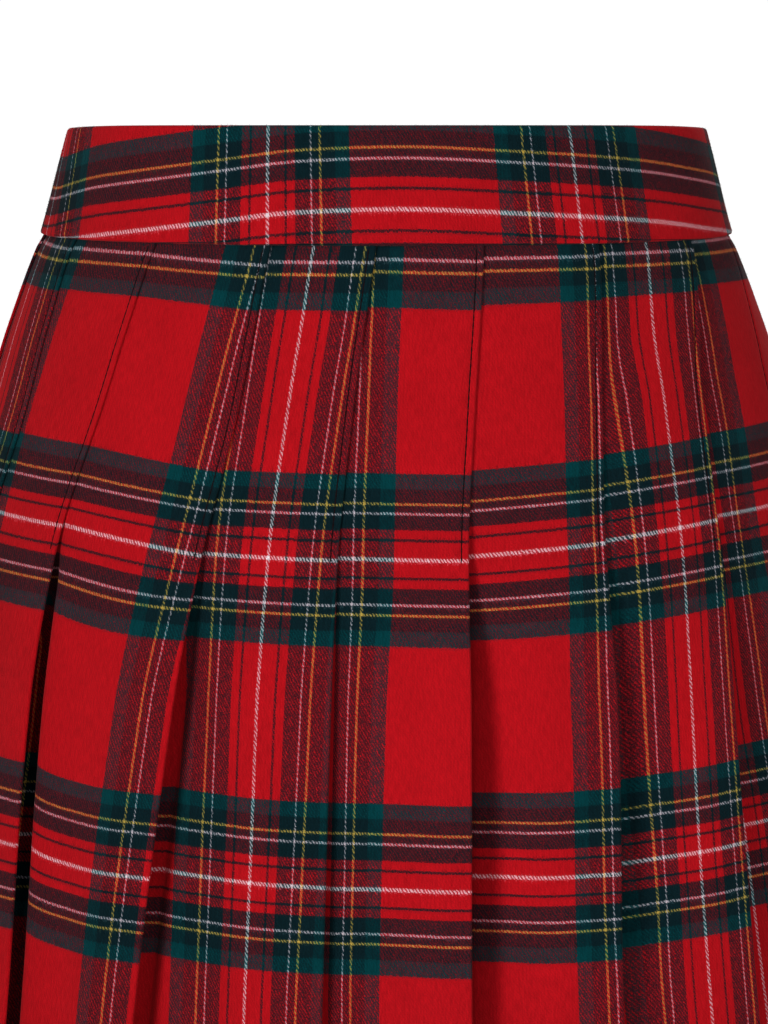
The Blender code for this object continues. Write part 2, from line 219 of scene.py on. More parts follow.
@dataclass(frozen=True)
class Lay:
    """Where the check lies on one pleat, in parts of a repeat.

    edge_waist and edge_hip are the place across the warp at the folded edge,
    and scale widens or narrows the check across the face. start and edge are
    how far the weft is raised at the two sides of the face, at five depths, and
    curl is how sharply it turns up towards the start below the stitching.
    """

    edge_waist: float
    edge_hip: float
    scale: float
    start: Tuple[float, ...]
    edge: Tuple[float, ...]
    curl: float = 1.0


FOLD_DEPTHS: Tuple[float, ...] = (BAND_DEPTH, 0.1050, 0.1636, 0.2200, 0.3300, 0.4300)
WEFT_DEPTHS: Tuple[float, ...] = (0.0550, 0.0700, 0.1300, 0.1580, 0.2830)

FRONT_PLEATS: Tuple[FrontPleat, ...] = (
    FrontPleat("far_right", (-61.2, -60.2, -63.5, -65.5, -64.5, -64.0), 3.0, 5.0, 1.0, 1.0),
    FrontPleat("outer_right", (-39.3, -42.2, -46.2, -47.3, -45.3, -44.0), 1.0, 1.6, 1.0, 14.5),
    FrontPleat("inner_right", (-18.3, -20.2, -23.4, -25.3, -27.2, -27.9), 3.8, 5.2, 8.0, 0.4),
    FrontPleat("middle", (-1.7, -4.5, -6.1, -6.5, -6.8, -7.2), 1.5, 4.0, 0.8, 0.8),
    FrontPleat("inner_left", (15.0, 11.7, 9.8, 9.4, 8.6, 8.2), 5.5, 8.0, 9.0, 2.0),
    FrontPleat("outer_left", (35.1, 30.2, 27.8, 27.3, 25.2, 24.4), 3.2, 6.0, 5.0, 1.0),
    FrontPleat("far_left", (58.2, 48.8, 46.4, 44.8, 42.9, 42.2), 2.5, 5.0, 1.0, 1.0),
)

BACK_PLEATS: Tuple[BackPleat, ...] = (
    BackPleat(0.02, 3.0, 5.0, 1.0, 3.0),
    BackPleat(-0.03, 2.0, 4.5, 1.6, 1.0),
    BackPleat(0.03, 3.6, 6.0, 0.8, 5.0),
    BackPleat(-0.01, 2.4, 5.0, 1.2, 1.5),
)

LAYS: Dict[int, Lay] = {
    -1: Lay(-1348.0, -1348.0, 1.0, (7.0, 12.0, 37.4, 42.0, 42.0), (6.0, 10.3, 32.0, 36.0, 34.0)),
    0: Lay(-914.5, -914.5, 1.0, (8.0, 15.4, 31.9, 36.0, 33.0), (3.0, 10.6, 24.7, 27.0, 25.0)),
    1: Lay(-481.0, -481.0, 1.0, (4.3, 13.6, 26.2, 27.2, 23.7), (1.8, 8.7, 20.2, 22.0, 21.5)),
    2: Lay(-37.0, -22.0, 1.0, (1.0, 8.9, 19.7, 22.6, 23.0), (-6.0, -3.7, -1.9, 1.5, 6.5), 5.0),
    3: Lay(396.5, 407.5, 1.0, (-3.1, -2.4, 1.0, 2.6, 7.0), (-3.0, -3.0, -1.1, -0.2, 5.0)),
    4: Lay(829.0, 829.0, 1.0, (-0.2, 0.3, 0.6, 1.8, 0.5), (-2.4, -2.7, -1.8, -0.9, 2.8)),
    5: Lay(1281.0, 1281.0, 1.0, (-0.2, 1.6, 1.8, 2.3, 8.0), (0.6, 5.1, 10.9, 12.3, 12.0)),
    6: Lay(1714.5, 1714.5, 1.08, (2.0, 7.5, 14.1, 13.5, 14.0), (3.0, 12.4, 27.2, 27.2, 29.0)),
    7: Lay(2148.0, 2148.0, 1.06, (9.2, 18.2, 29.5, 30.5, 42.9), (11.1, 20.4, 37.4, 39.0, 48.0)),
    8: Lay(2581.0, 2584.0, 1.0, (10.0, 20.3, 37.8, 40.0, 47.0), (8.0, 16.8, 37.6, 41.0, 46.0)),
    9: Lay(3015.0, 3013.0, 1.0, (6.0, 10.5, 33.1, 38.0, 41.0), (5.0, 8.5, 26.0, 30.0, 33.0)),
    10: Lay(3450.0, 3454.0, 1.0, (4.0, 7.4, 24.2, 28.0, 31.0), (3.0, 5.1, 15.6, 18.0, 20.0)),
    11: Lay(3881.0, 3886.0, 1.0, (2.0, 4.0, 13.7, 16.0, 18.0), (1.0, 2.0, 6.9, 8.0, 9.0)),
    12: Lay(4316.0, 4312.0, 1.0, (1.0, 1.8, 6.0, 7.0, 8.0), (0.0, 0.3, 1.6, 2.0, 3.0)),
    13: Lay(4749.0, 4752.0, 1.0, (0.0, 0.3, 1.6, 2.0, 3.0), (0.0, 0.4, 2.4, 3.0, 4.0)),
    14: Lay(5184.0, 5180.0, 1.0, (0.0, 0.6, 3.3, 4.0, 5.0), (1.0, 2.3, 8.6, 10.0, 11.0)),
    15: Lay(5616.0, 5621.0, 1.0, (1.0, 2.6, 10.3, 12.0, 13.0), (3.0, 5.7, 19.0, 22.0, 24.0)),
    16: Lay(6050.0, 6046.0, 1.0, (3.0, 6.0, 20.8, 24.0, 26.0), (5.0, 9.1, 29.7, 34.0, 36.0)),
    17: Lay(6483.0, 6486.0, 1.0, (5.0, 9.4, 31.4, 36.0, 38.0), (6.0, 10.8, 35.0, 40.0, 42.0)),
    18: Lay(6916.0, 6916.0, 1.0, (6.0, 10.8, 35.0, 40.0, 42.0), (6.0, 10.3, 32.0, 36.0, 34.0)),
}

SHIFT_DEPTHS: Tuple[float, ...] = (0.0550, 0.0800, 0.1050, 0.1580, 0.2200, 0.2830, 0.3250)
SHIFT_PLACES: Tuple[float, ...] = (0.0, 0.35, 0.70, 1.0)

WARP_SHIFTS: Dict[int, Tuple[Tuple[float, ...], ...]] = {
    1: ((14.0, 14.0, 14.0, 2.0, 0.0, 0.0, 0.0), (5.0, 6.0, 6.0, 0.0, 0.0, 0.0, 0.0),
        (0.0, 0.0, 0.0, 0.0, 0.0, 0.0, 0.0), (-4.0, -2.0, 1.0, 2.0, 5.0, 8.0, 8.0)),
    2: ((-4.0, 0.0, 0.0, 0.0, 0.0, 0.0, 0.0), (-4.0, 0.0, 0.0, 0.0, 0.0, 0.0, 0.0),
        (-3.0, 0.0, 2.0, -2.0, 0.0, 1.0, 1.0), (-4.0, 0.0, 1.0, -4.0, -1.5, -1.5, -1.5)),
    3: ((-6.0, -6.0, -7.0, -5.0, -5.0, 1.0, 0.0), (-4.0, -5.0, -5.0, -4.5, -3.0, -2.0, -1.0),
        (-1.0, -3.0, -2.5, -2.5, -1.5, 1.0, 3.0), (1.0, 0.0, 0.0, 0.0, 1.0, 4.0, 7.0)),
    4: ((-2.0, -4.0, -6.0, -7.0, -2.0, 0.0, 3.0), (0.0, -1.0, -3.0, -7.0, 2.0, 7.0, 9.5),
        (0.0, 0.0, 0.0, -4.0, 3.0, 7.0, 9.5), (0.0, 0.0, 0.0, -2.0, 3.0, 7.0, 9.5)),
    5: ((0.0, 0.0, 0.0, 0.0, 0.0, 0.0, 0.0), (0.0, -1.0, -2.0, -2.0, 0.0, 0.0, 0.0),
        (0.0, -2.5, -5.5, -6.5, 1.0, 0.0, -2.0), (1.0, 2.0, -1.0, -1.5, 5.5, 4.0, 0.5)),
    6: ((14.0, 7.0, 5.0, 4.0, 6.0, 8.0, 8.0), (14.0, 6.0, -8.0, -10.0, -12.5, -12.5, -9.5),
        (10.0, 4.0, -6.5, -9.5, -7.0, -4.0, -4.0), (7.0, 2.0, -3.0, -3.0, 1.5, 1.5, 1.5)),
    7: ((0.0, -3.0, -3.0, 0.0, 0.0, -8.0, -8.0), (0.0, -3.0, -4.0, 8.0, 0.0, -8.0, -8.0),
        (5.0, 4.0, 0.0, 0.0, 0.0, -8.0, -8.0), (6.0, 4.0, 0.0, 0.0, 0.0, -8.0, -8.0)),
}

# Depth and the part of the repeat that lies there, where the weft runs level.
WEFT_LEVELS: Tuple[Tuple[float, float], ...] = (
    (0.0420, 28.0), (0.0445, 33.5), (0.0548, 56.0), (0.0684, 87.3), (0.1301, 243.2),
    (0.1417, 274.5), (0.1512, 301.0), (0.1627, 330.5), (0.1736, 360.0), (0.1952, 417.8),
    (0.2541, 573.7), (0.2753, 631.5), (0.2863, 661.0), (0.3033, 707.5), (0.3185, 748.3),
    (0.4300, 1047.0),
)


@dataclass(frozen=True)
class Crease:
    """A soft ridge or trough laid into a pleat's face.

    across, width and drift are shares of the face, and height is in millimetres.
    """

    pleat: int
    across: float
    top: float
    bottom: float
    height: float
    width: float
    drift: float = 0.0


CREASES: Tuple[Crease, ...] = (
    Crease(1, 0.55, 0.180, 0.430, -1.2, 0.20, -0.10),
    Crease(2, 0.30, 0.170, 0.430, -1.4, 0.16, 0.12),
    Crease(2, 0.72, 0.200, 0.430, 1.0, 0.16, -0.08),
    Crease(3, 0.28, 0.190, 0.430, -1.3, 0.18, 0.05),
    Crease(3, 0.66, 0.150, 0.400, 0.8, 0.18, 0.04),
    Crease(4, 0.35, 0.210, 0.430, -1.1, 0.20, -0.05),
    Crease(4, 0.80, 0.170, 0.350, 0.8, 0.12, 0.02),
    Crease(5, 0.20, 0.175, 0.430, -1.8, 0.16, 0.08),
    Crease(5, 0.62, 0.190, 0.430, 1.0, 0.20, -0.06),
    Crease(6, 0.30, 0.180, 0.430, -1.2, 0.18, 0.05),
    Crease(6, 0.75, 0.200, 0.430, 0.9, 0.16, 0.02),
    Crease(7, 0.40, 0.190, 0.430, -1.3, 0.18, -0.05),
    Crease(9, 0.35, 0.180, 0.430, -1.2, 0.18, 0.06),
    Crease(10, 0.60, 0.200, 0.430, 1.0, 0.20, -0.05),
    Crease(11, 0.30, 0.190, 0.430, -1.3, 0.17, 0.05),
    Crease(12, 0.55, 0.180, 0.430, 1.0, 0.18, 0.05),
    Crease(14, 0.35, 0.180, 0.430, -1.2, 0.18, -0.06),
    Crease(15, 0.65, 0.200, 0.430, 1.0, 0.18, 0.05),
    Crease(16, 0.30, 0.190, 0.430, -1.4, 0.16, 0.04),
    Crease(17, 0.50, 0.190, 0.430, 0.9, 0.20, 0.03),
    Crease(18, 0.30, 0.190, 0.430, -1.2, 0.18, 0.05),
)


@dataclass
class PleatedBody:
    """The pleated cloth below the waistband, in three panels.

    A pace is the distance from one layer of a pleat to the next, and a slot the
    narrow shadow beside a fold. from_start, between_ends and from_edge place the
    stations across a face, and after_cut counts those behind a side cut.
    """

    top: float = 0.0422
    stitch_end: float = 0.1636
    hem: float = 0.4300
    wall: float = 0.00065
    solid_wall: float = 0.0011
    pressed_pace: float = 0.00072
    open_pace: float = 0.00130
    open_depth: float = 0.24
    slot_width: float = 0.0018
    slot_turn: float = 1.5
    slot_cloth: float = 1.25
    dip_turn: float = 3.8
    tunnel_width: float = 0.0190
    seam_gap: float = 0.0003
    zip_slot: float = 0.0016
    zip_end: float = 0.2050
    zip_fold_back: float = 0.0110
    zip_pleat: int = 12
    zip_under_share: float = 0.50
    pleat_total: int = 18
    side_left: int = 8
    side_right: int = 17
    band_tuck: float = 0.0016
    stitch_inset: float = 0.0025
    groove_depth: float = 0.00040
    groove_width: float = 0.0008
    tuck_end: float = 0.0580
    tuck_rows: int = 8
    open_rows: int = 98
    from_start: Tuple[float, ...] = (0.0, 0.0016, 0.0032, 0.0048, 0.0066, 0.0088)
    from_edge: Tuple[float, ...] = (0.0070, 0.0045, 0.0033, 0.0027, 0.0023, 0.0016, 0.0011)
    between_ends: Tuple[float, float] = (0.0115, 0.0100)
    between_stations: int = 11
    after_cut: int = 5
    nap_on_fold: int = 3
    cut_per_pleat: float = 0.1560
    hem_and_seam: float = 0.004

    def pace(self, depth: float) -> float:
        """Distance from one layer's middle to the next, wider below the stitching."""
        return float(smooth(depth, (self.stitch_end - 0.01, self.open_depth),
                            (self.pressed_pace, self.open_pace)))

    def depth_rows(self) -> np.ndarray:
        """Depths of the shell's rows, closer together under the waistband.

        Returns:
            Metres below the top edge, from the top row to the hem.
        """
        upper = np.linspace(self.top, self.tuck_end, self.tuck_rows)[:-1]
        lower = np.linspace(self.tuck_end, self.hem, self.open_rows)
        return np.concatenate((upper, lower))

    def fold_arcs(self, oval: Oval) -> List[float]:
        """Distances along an oval of all folded edges.

        Args:
            oval: The oval at one depth.

        Returns:
            One distance for each pleat in order, with the first repeated last.
        """
        arcs = [oval.arc_of(float(smooth(oval.depth, FOLD_DEPTHS, row.angles)))
                for row in FRONT_PLEATS]
        last = arcs[0] + oval.length
        anchor = 0.5 * oval.length - self.zip_fold_back
        start = arcs[-1]
        before = self.zip_pleat - len(FRONT_PLEATS) + 1
        for i in range(1, before):
            uneven = BACK_PLEATS[i % len(BACK_PLEATS)].uneven
            arcs.append(start + (anchor - start) / before * (i + uneven))
        arcs.append(anchor)
        after = self.pleat_total - self.zip_pleat
        for i in range(1, after):
            uneven = BACK_PLEATS[i % len(BACK_PLEATS)].uneven
            arcs.append(anchor + (last - anchor) / after * (i + uneven))
        arcs.append(last)
        return arcs

    def tuck(self, depth: float) -> float:
        """How far the cloth draws in under the waistband."""
        return self.band_tuck * (1.0 - float(smooth(depth, (0.0450, 0.0500, self.tuck_end),
                                                    (0.0, 0.8, 1.0))))

    def opening(self, number: int, depth: float) -> Tuple[float, float, float]:
        """How far a folded edge stands out, and how far the cloth beside it dips.

        Args:
            number: The pleat.
            depth: Metres below the top edge.

        Returns:
            The stand of the edge, the broad dip and the narrow slot, in metres.
        """
        number = number % self.pleat_total
        if number < len(FRONT_PLEATS):
            row = FRONT_PLEATS[number]
        else:
            row = BACK_PLEATS[number % len(BACK_PLEATS)]
        knots = (BAND_DEPTH, 0.130, self.stitch_end, 0.220, self.hem)
        stand = smooth(depth, knots, (0.0, 0.0, 0.15 * row.open_hip, row.open_hip, row.open_hem))
        dip = smooth(depth, knots, (0.0, 0.0, 0.2 * row.dip, row.dip, 1.2 * row.dip))
        slot = smooth(depth, (0.150, self.stitch_end, 0.205, self.hem),
                      (0.0, 0.10 * row.slot, row.slot, 1.15 * row.slot))
        return float(stand) * MM, float(dip) * MM, float(slot) * MM

    def crease_height(self, number: int, f: np.ndarray, depth: float) -> np.ndarray:
        """Height of the creases laid across one pleat's face.

        Args:
            number: The pleat.
            f: Places across the face, from 0 to 1.
            depth: Metres below the top edge.

        Returns:
            The heights, in metres.
        """
        total = np.zeros_like(f)
        for crease in CREASES:
            if crease.pleat != number:
                continue
            span = crease.bottom - crease.top
            t = (depth - crease.top) / span
            fade = float(smooth(t, (0.0, 0.35, 1.0), (0.0, 1.0, 1.0)))
            middle = crease.across + crease.drift * max(t, 0.0)
            total += crease.height * MM * fade * np.exp(-((f - middle) / crease.width) ** 2)
        edges = np.clip(np.minimum(f, 1.0 - f) / 0.12, 0.0, 1.0)
        return total * edges * edges * (3.0 - 2.0 * edges)

    def warp_place(self, number: int, f: np.ndarray, depth: float,
                   pitch: float) -> np.ndarray:
        """Place across the warp on a pleat's face.

        Args:
            number: The pleat's row in the table of the check.
            f: Places across the face, from 0 to 1.
            depth: Metres below the top edge.
            pitch: Width of the face.

        Returns:
            The places, in parts of a repeat.
        """
        row = LAYS[number]
        hip = float(smooth(depth, (BAND_DEPTH, 0.215), (0.0, 1.0)))
        edge = row.edge_waist + (row.edge_hip - row.edge_waist) * hip
        place = edge - row.scale * pitch * SETT / REPEAT * (1.0 - f)
        slot = self.opening(number - 1, depth)[2]
        turned = slot * np.exp(-(f * pitch / self.slot_width) ** self.slot_turn)
        place = place - self.slot_cloth * turned * SETT / REPEAT
        if number in WARP_SHIFTS:
            levels = [float(smooth(depth, SHIFT_DEPTHS, line)) for line in WARP_SHIFTS[number]]
            place = place + smooth(f, SHIFT_PLACES, levels)
        return place

    def weft_rise(self, number: int, at_edge: bool, depth: float) -> float:
        """How far the weft is raised at one side of a pleat's face.

        Args:
            number: The pleat's row in the table of the check.
            at_edge: Whether the folded edge is meant, and not the start.
            depth: Metres below the top edge.

        Returns:
            The rise, in parts of a repeat.
        """
        row = LAYS[number]
        return float(smooth(depth, WEFT_DEPTHS, row.edge if at_edge else row.start))

    def pleat(self, oval: Oval, arcs: List[float], number: int, cloth: int) -> np.ndarray:
        """One pleat's middle line with its place in the check.

        Args:
            oval: The oval at this depth.
            arcs: Distances of the folded edges.
            number: The pleat, from 1.
            cloth: The pleat's row in the table of the check.

        Returns:
            Rows of X, Y, place across the warp and place along it, in repeats.
        """
        depth = oval.depth
        start = arcs[number - 1]
        pitch = arcs[number] - start
        pace = self.pace(depth)
        share = self.zip_under_share if number == self.zip_pleat + 1 else oval.under_share
        stand, dip, slot = self.opening(number, depth)
        dip_before, slot_before = self.opening(number - 1, depth)[1:]
        turn = 0.5 * pace / pitch
        tuck = self.tuck(depth)
        stitched = 1.0 - float(smooth(depth, (self.stitch_end - 0.003, self.stitch_end + 0.012),
                                      (0.0, 1.0)))

        def base(f: np.ndarray) -> np.ndarray:
            """Height of the panel below its own pleat.

            Args:
                f: Shares of the way across the face.

            Returns:
                Offsets from the oval, in metres.
            """
            lean = -0.5 * self.solid_wall + pace * (2.0 * f - 1.0)
            steep = slot_before * np.exp(-(f * pitch / self.slot_width) ** self.slot_turn)
            return lean - dip_before * (1.0 - f) ** self.dip_turn - steep - tuck

        def face(f: np.ndarray) -> np.ndarray:
            """Height of the outer layer.

            Args:
                f: Shares of the way across the face.

            Returns:
                Offsets from the oval, in metres.
            """
            from_seam = (1.0 - f) * pitch - self.stitch_inset
            groove = np.exp(-(from_seam / self.groove_width) ** 2)
            height = base(f) + stand * f * f - self.groove_depth * stitched * groove
            return height + self.crease_height(number, f, depth)

        def under(f: np.ndarray) -> np.ndarray:
            """Height of the inner layer.

            Args:
                f: Shares of the way across the face.

            Returns:
                Offsets from the oval, in metres.
            """
            steep = slot * np.exp(-((1.0 - f) * pitch / self.tunnel_width) ** self.slot_turn)
            return base(f) - 2.0 * pace - dip * f ** 3 - steep

        # Across the face, round the folded edge, back under, round the inner fold and on.
        first = 1.0 - share
        far = np.array(self.from_start) / pitch
        near = np.array(self.from_edge) / pitch
        left, right = self.between_ends
        face_f = np.concatenate((
            far, np.linspace(left / pitch, 1.0 - right / pitch, self.between_stations),
            1.0 - near, [1.0 - turn]))
        arch = np.radians((65.0, 38.0, 12.0, -12.0, -38.0, -65.0))
        edge_f = 1.0 - turn + turn * np.cos(arch)
        edge_o = face(np.ones(1) * (1.0 - turn)) - 0.5 * pace + 0.5 * pace * np.sin(arch)
        back_f = np.linspace(1.0 - turn, first, 6)
        back_o = face(back_f) - pace
        inner = np.radians((60.0, 0.0, -60.0))
        gap = 0.5 * (face(np.ones(1) * first) - pace - under(np.ones(1) * first))
        inner_middle = under(np.ones(1) * first) + gap
        inner_f = first - turn * np.cos(inner)
        inner_o = inner_middle + gap * np.sin(inner)
        on_f = np.linspace(first, 1.0, 8)[:-1]
        f = np.concatenate((face_f, edge_f, back_f, inner_f, on_f))
        o = np.concatenate((face(face_f), edge_o, back_o, inner_o, under(on_f)))
        points = oval.place(start + pitch * f, o)

        # Across the warp: by the table on the face, then evenly to the next pleat's start.
        following = min(cloth + 1, max(LAYS))
        next_pitch = pitch
        if number < self.pleat_total:
            next_pitch = arcs[number + 1] - arcs[number]
        edge_u = float(self.warp_place(cloth, np.ones(1), depth, pitch)[0])
        next_start = float(self.warp_place(following, np.zeros(1), depth, next_pitch)[0])
        steps = np.linalg.norm(np.diff(points, axis=0), axis=1)
        lengths = np.concatenate(([0.0], np.cumsum(steps)))
        count = len(face_f)
        u = np.empty(len(f))
        u[:count] = self.warp_place(cloth, face_f, depth, pitch)
        hidden = lengths[count:] - lengths[count - 1]
        total = hidden[-1] + (hidden[-1] - hidden[-2])
        u[count:] = edge_u + (next_start - edge_u) * hidden / total

        # Along the warp: the level at this depth, raised at the two sides of the face.
        level = float(smooth(depth, [r[0] for r in WEFT_LEVELS], [r[1] for r in WEFT_LEVELS]))
        rise_start = self.weft_rise(cloth, False, depth)
        rise_edge = self.weft_rise(cloth, True, depth)
        rise_next = self.weft_rise(following, False, depth)
        v = np.empty(len(f))
        curl = 1.0 + (LAYS[cloth].curl - 1.0) * float(
            smooth(depth, (self.stitch_end, self.open_depth), (0.0, 1.0)))
        v[:count] = level + rise_edge + (rise_start - rise_edge) * (1.0 - face_f) ** curl
        v[count:] = level + rise_edge + (rise_next - rise_edge) * hidden / total
        return np.column_stack((points, u / SETT, v / SETT))

    @property
    def outer_stations(self) -> int:
        """Stations across one pleat's face."""
        return len(self.from_start) + self.between_stations + len(self.from_edge) + 1

    @property
    def points_per_pleat(self) -> int:
        """Stations along one pleat's middle line."""
        folded_edge, way_back, inner_fold, way_on = 6, 6, 3, 7
        return self.outer_stations + folded_edge + way_back + inner_fold + way_on

    def zip_gap(self, depth: float) -> float:
        """Width of the opening at the middle of the back."""
        return float(smooth(depth, (0.0, self.zip_end - 0.010, self.zip_end - 0.001, self.hem),
                            (self.zip_slot, self.zip_slot, 0.0, 0.0)))

    def panels_at(self, depth: float) -> Dict[str, np.ndarray]:
        """Middle lines of the three panels at one depth.

        Args:
            depth: Metres below the top edge.

        Returns:
            For each panel, rows of X, Y and the two places in the check.
        """
        oval = Oval(depth)
        arcs = self.fold_arcs(oval)
        lines = {n: self.pleat(oval, arcs, n, n) for n in range(1, self.pleat_total + 1)}
        before_last = self.pleat(oval, arcs, self.side_right, self.side_right - self.pleat_total)
        last = self.pleat(oval, arcs, self.pleat_total, 0)
        half = 0.5 * self.seam_gap
        slot = 0.5 * self.zip_gap(depth)
        cut = self.points_per_pleat - self.after_cut

        def between(a: np.ndarray, b: np.ndarray, place: float, gap: float) -> np.ndarray:
            """A point on the way from one station to the next, moved by a gap.

            Args:
                a: The first station.
                b: The second station.
                place: Share of the way between them.
                gap: How far the point moves on, in metres.

            Returns:
                The point as one row.
            """
            run = b - a
            return (a + run * place + run / np.linalg.norm(run[:2]) * gap)[None]

        def side(line: np.ndarray, gap: float) -> np.ndarray:
            """The side cut in a pleat's inner layer."""
            return between(line[cut - 1], line[cut], 0.5, gap)

        zip_line = lines[self.zip_pleat + 1]
        left_end = self._centre_cut(zip_line, slot, True)
        right_start = self._centre_cut(zip_line, slot, False)
        front = [side(before_last, half), before_last[cut:], last]
        front += [lines[n] for n in range(1, self.side_left)]
        front += [lines[self.side_left][:cut], side(lines[self.side_left], -half)]
        back_left = [side(lines[self.side_left], half), lines[self.side_left][cut:]]
        back_left += [lines[n] for n in range(self.side_left + 1, self.zip_pleat + 1)]
        back_left.append(left_end)
        back_right = [right_start]
        back_right += [lines[n] for n in range(self.zip_pleat + 2, self.side_right)]
        back_right += [lines[self.side_right][:cut], side(lines[self.side_right], -half)]
        return {"front": np.vstack(front), "back_left": np.vstack(back_left),
                "back_right": np.vstack(back_right)}

    @staticmethod
    def _centre_cut(line: np.ndarray, slot: float, left: bool) -> np.ndarray:
        """The stretch of the zip's pleat on one side of the opening.

        Args:
            line: The whole pleat.
            slot: Half the width of the opening.
            left: Whether the stretch towards +X is wanted.

        Returns:
            A fixed number of stations, ending or starting at the opening.
        """
        face = 14  # The opening lies within the first stations of the face.
        x = line[:face, 0]
        edge = slot if left else -slot
        order = np.argsort(x)

        def stations(targets: np.ndarray) -> np.ndarray:
            """Stations of the face at places in X."""
            return np.column_stack([np.interp(targets, x[order], line[:face, c][order])
                                    for c in range(4)])

        at = stations(np.array([edge]))
        if left:
            share = np.linspace(0.0, 1.0, 5)[:-1]
            return np.vstack((stations(x[0] + (edge - x[0]) * share), at))
        targets = edge + (x[-1] - edge) * np.linspace(0.0, 1.0, face)[1:-1]
        return np.vstack((at, stations(targets), line[face - 1:]))

    def build(self, finish: "TartanCloth") -> List[bpy.types.Object]:
        """Make the three panels.

        Args:
            finish: The cloth that they are cut from.

        Returns:
            The three pieces.
        """
        rows: Dict[str, List[np.ndarray]] = {"front": [], "back_left": [], "back_right": []}
        depths = self.depth_rows()
        for depth in depths:
            for name, line in self.panels_at(float(depth)).items():
                rows[name].append(line)
        pieces = []
        for name, lines in rows.items():
            grid = np.stack(lines)
            points = np.concatenate((grid[:, :, :2], np.broadcast_to(
                -depths[:, None, None], grid.shape[:2] + (1,))), axis=-1)
            piece = sheet_object(name + "_cloth", points, grid[:, :, 2:4], finish.material)
            thicken(piece, self.wall)
            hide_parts(name)
            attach(piece, SKIRT_BODY)
            pieces.append(piece)
            self._nap(name, points, grid[:, :, 2:4], finish)
            LOG.info("%s: %d faces", piece.name, len(piece.data.polygons))
        return pieces

    def _nap(self, name: str, points: np.ndarray, places: np.ndarray,
             finish: "TartanCloth") -> None:
        """Fibres over the outer faces of one panel's pleats.

        Args:
            name: The panel.
            points: Rows and columns of X, Y and Z.
            places: The two places in the check at each.
            finish: The cloth.
        """
        side = self.after_cut + 1
        pleat = self.points_per_pleat
        first, count = {"front": (side, 9), "back_left": (side, 4),
                        "back_right": (pleat + 1, 4)}[name]
        width = self.outer_stations + self.nap_on_fold
        columns = [slice(first + pleat * i, first + pleat * i + width) for i in range(count)]
        faces = np.stack([points[:, c] for c in columns])
        spots = np.stack([places[:, c] for c in columns])
        nap = Nap().build(name + "_nap", faces, spots, 0.5 * self.wall, finish.material, len(name))

    def edge_points(self, number: int, depths: np.ndarray, inset: float,
                    lift: float) -> np.ndarray:
        """Points on a pleat's face at a distance from its folded edge.

        Args:
            number: The pleat.
            depths: Depths of the points.
            inset: Distance from the folded edge.
            lift: Distance above the face.

        Returns:
            Rows of X, Y and Z.
        """
        found = []
        for depth in depths:
            oval = Oval(float(depth))
            arcs = self.fold_arcs(oval)
            index = number if number > 0 else self.pleat_total
            pitch = arcs[index] - arcs[index - 1]
            stand = self.opening(index, float(depth))[0]
            f = 1.0 - inset / pitch
            pace = self.pace(float(depth))
            height = -0.5 * self.solid_wall + pace * (2.0 * f - 1.0) + stand * f * f
            height += 0.5 * self.wall - self.groove_depth - self.tuck(float(depth)) + lift
            xy = oval.place(np.array([arcs[index] - inset]), np.array([height]))[0]
            found.append((xy[0], xy[1], -float(depth)))
        return np.array(found)


# Mesh helpers

def sheet_object(name: str, points: np.ndarray, places: np.ndarray,
                 material: bpy.types.Material) -> bpy.types.Object:
    """A grid of points as one smooth sheet with a UV map.

    Args:
        name: The piece's name.
        points: Rows and columns of X, Y and Z.
        places: Rows and columns of the two places in the check.
        material: The finish.

    Returns:
        The object, linked to the scene.
    """
    rows, columns = points.shape[:2]
    index = np.arange(rows * columns).reshape(rows, columns)
    quads = np.stack((index[:-1, :-1], index[1:, :-1], index[1:, 1:], index[:-1, 1:]), axis=-1)
    quads = quads.reshape(-1, 4)
    return cloth_object(name, points, quads, places.reshape(-1, 2)[quads.reshape(-1)], material)


def cloth_object(name: str, points: np.ndarray, faces: np.ndarray, places: np.ndarray,
                 material: bpy.types.Material) -> bpy.types.Object:
    """Points and faces as one smooth object with the check's places in its UV map.

    Args:
        name: The piece's name.
        points: X, Y and Z of each point.
        faces: Numbers of each face's points, as many for every face.
        places: The two places in the check, for each corner of each face.
        material: The finish.

    Returns:
        The object, linked to the scene.
    """
    mesh = bpy.data.meshes.new(name)
    mesh.vertices.add(points.size // 3)
    mesh.vertices.foreach_set("co", points.reshape(-1).astype(np.float32))
    mesh.loops.add(faces.size)
    mesh.loops.foreach_set("vertex_index", faces.reshape(-1).astype(np.int32))
    mesh.polygons.add(len(faces))
    mesh.polygons.foreach_set("loop_start", np.arange(0, faces.size, faces.shape[1],
                                                      dtype=np.int32))
    mesh.polygons.foreach_set("use_smooth", np.ones(len(faces), dtype=bool))
    mesh.update(calc_edges=True)
    layer = mesh.uv_layers.new(name="check")
    layer.data.foreach_set("uv", places.reshape(-1).astype(np.float32))
    mesh.materials.append(material)
    return linked(name, mesh)


def linked(name: str, data: Optional[bpy.types.ID]) -> bpy.types.Object:
    """A new object in the scene.

    Args:
        name: The object's name.
        data: Its mesh, camera or light.

    Returns:
        The object.
    """
    piece = bpy.data.objects.new(name, data)
    bpy.context.scene.collection.objects.link(piece)
    return piece


def thicken(piece: bpy.types.Object, wall: float) -> None:
    """Give a sheet its thickness, half on either side.

    Args:
        piece: The sheet.
        wall: Its thickness, in metres.
    """
    modifier = piece.modifiers.new("thickness", "SOLIDIFY")
    modifier.thickness = wall
    modifier.offset = 0.0
    modifier.use_even_offset = False
    modifier.use_quality_normals = True


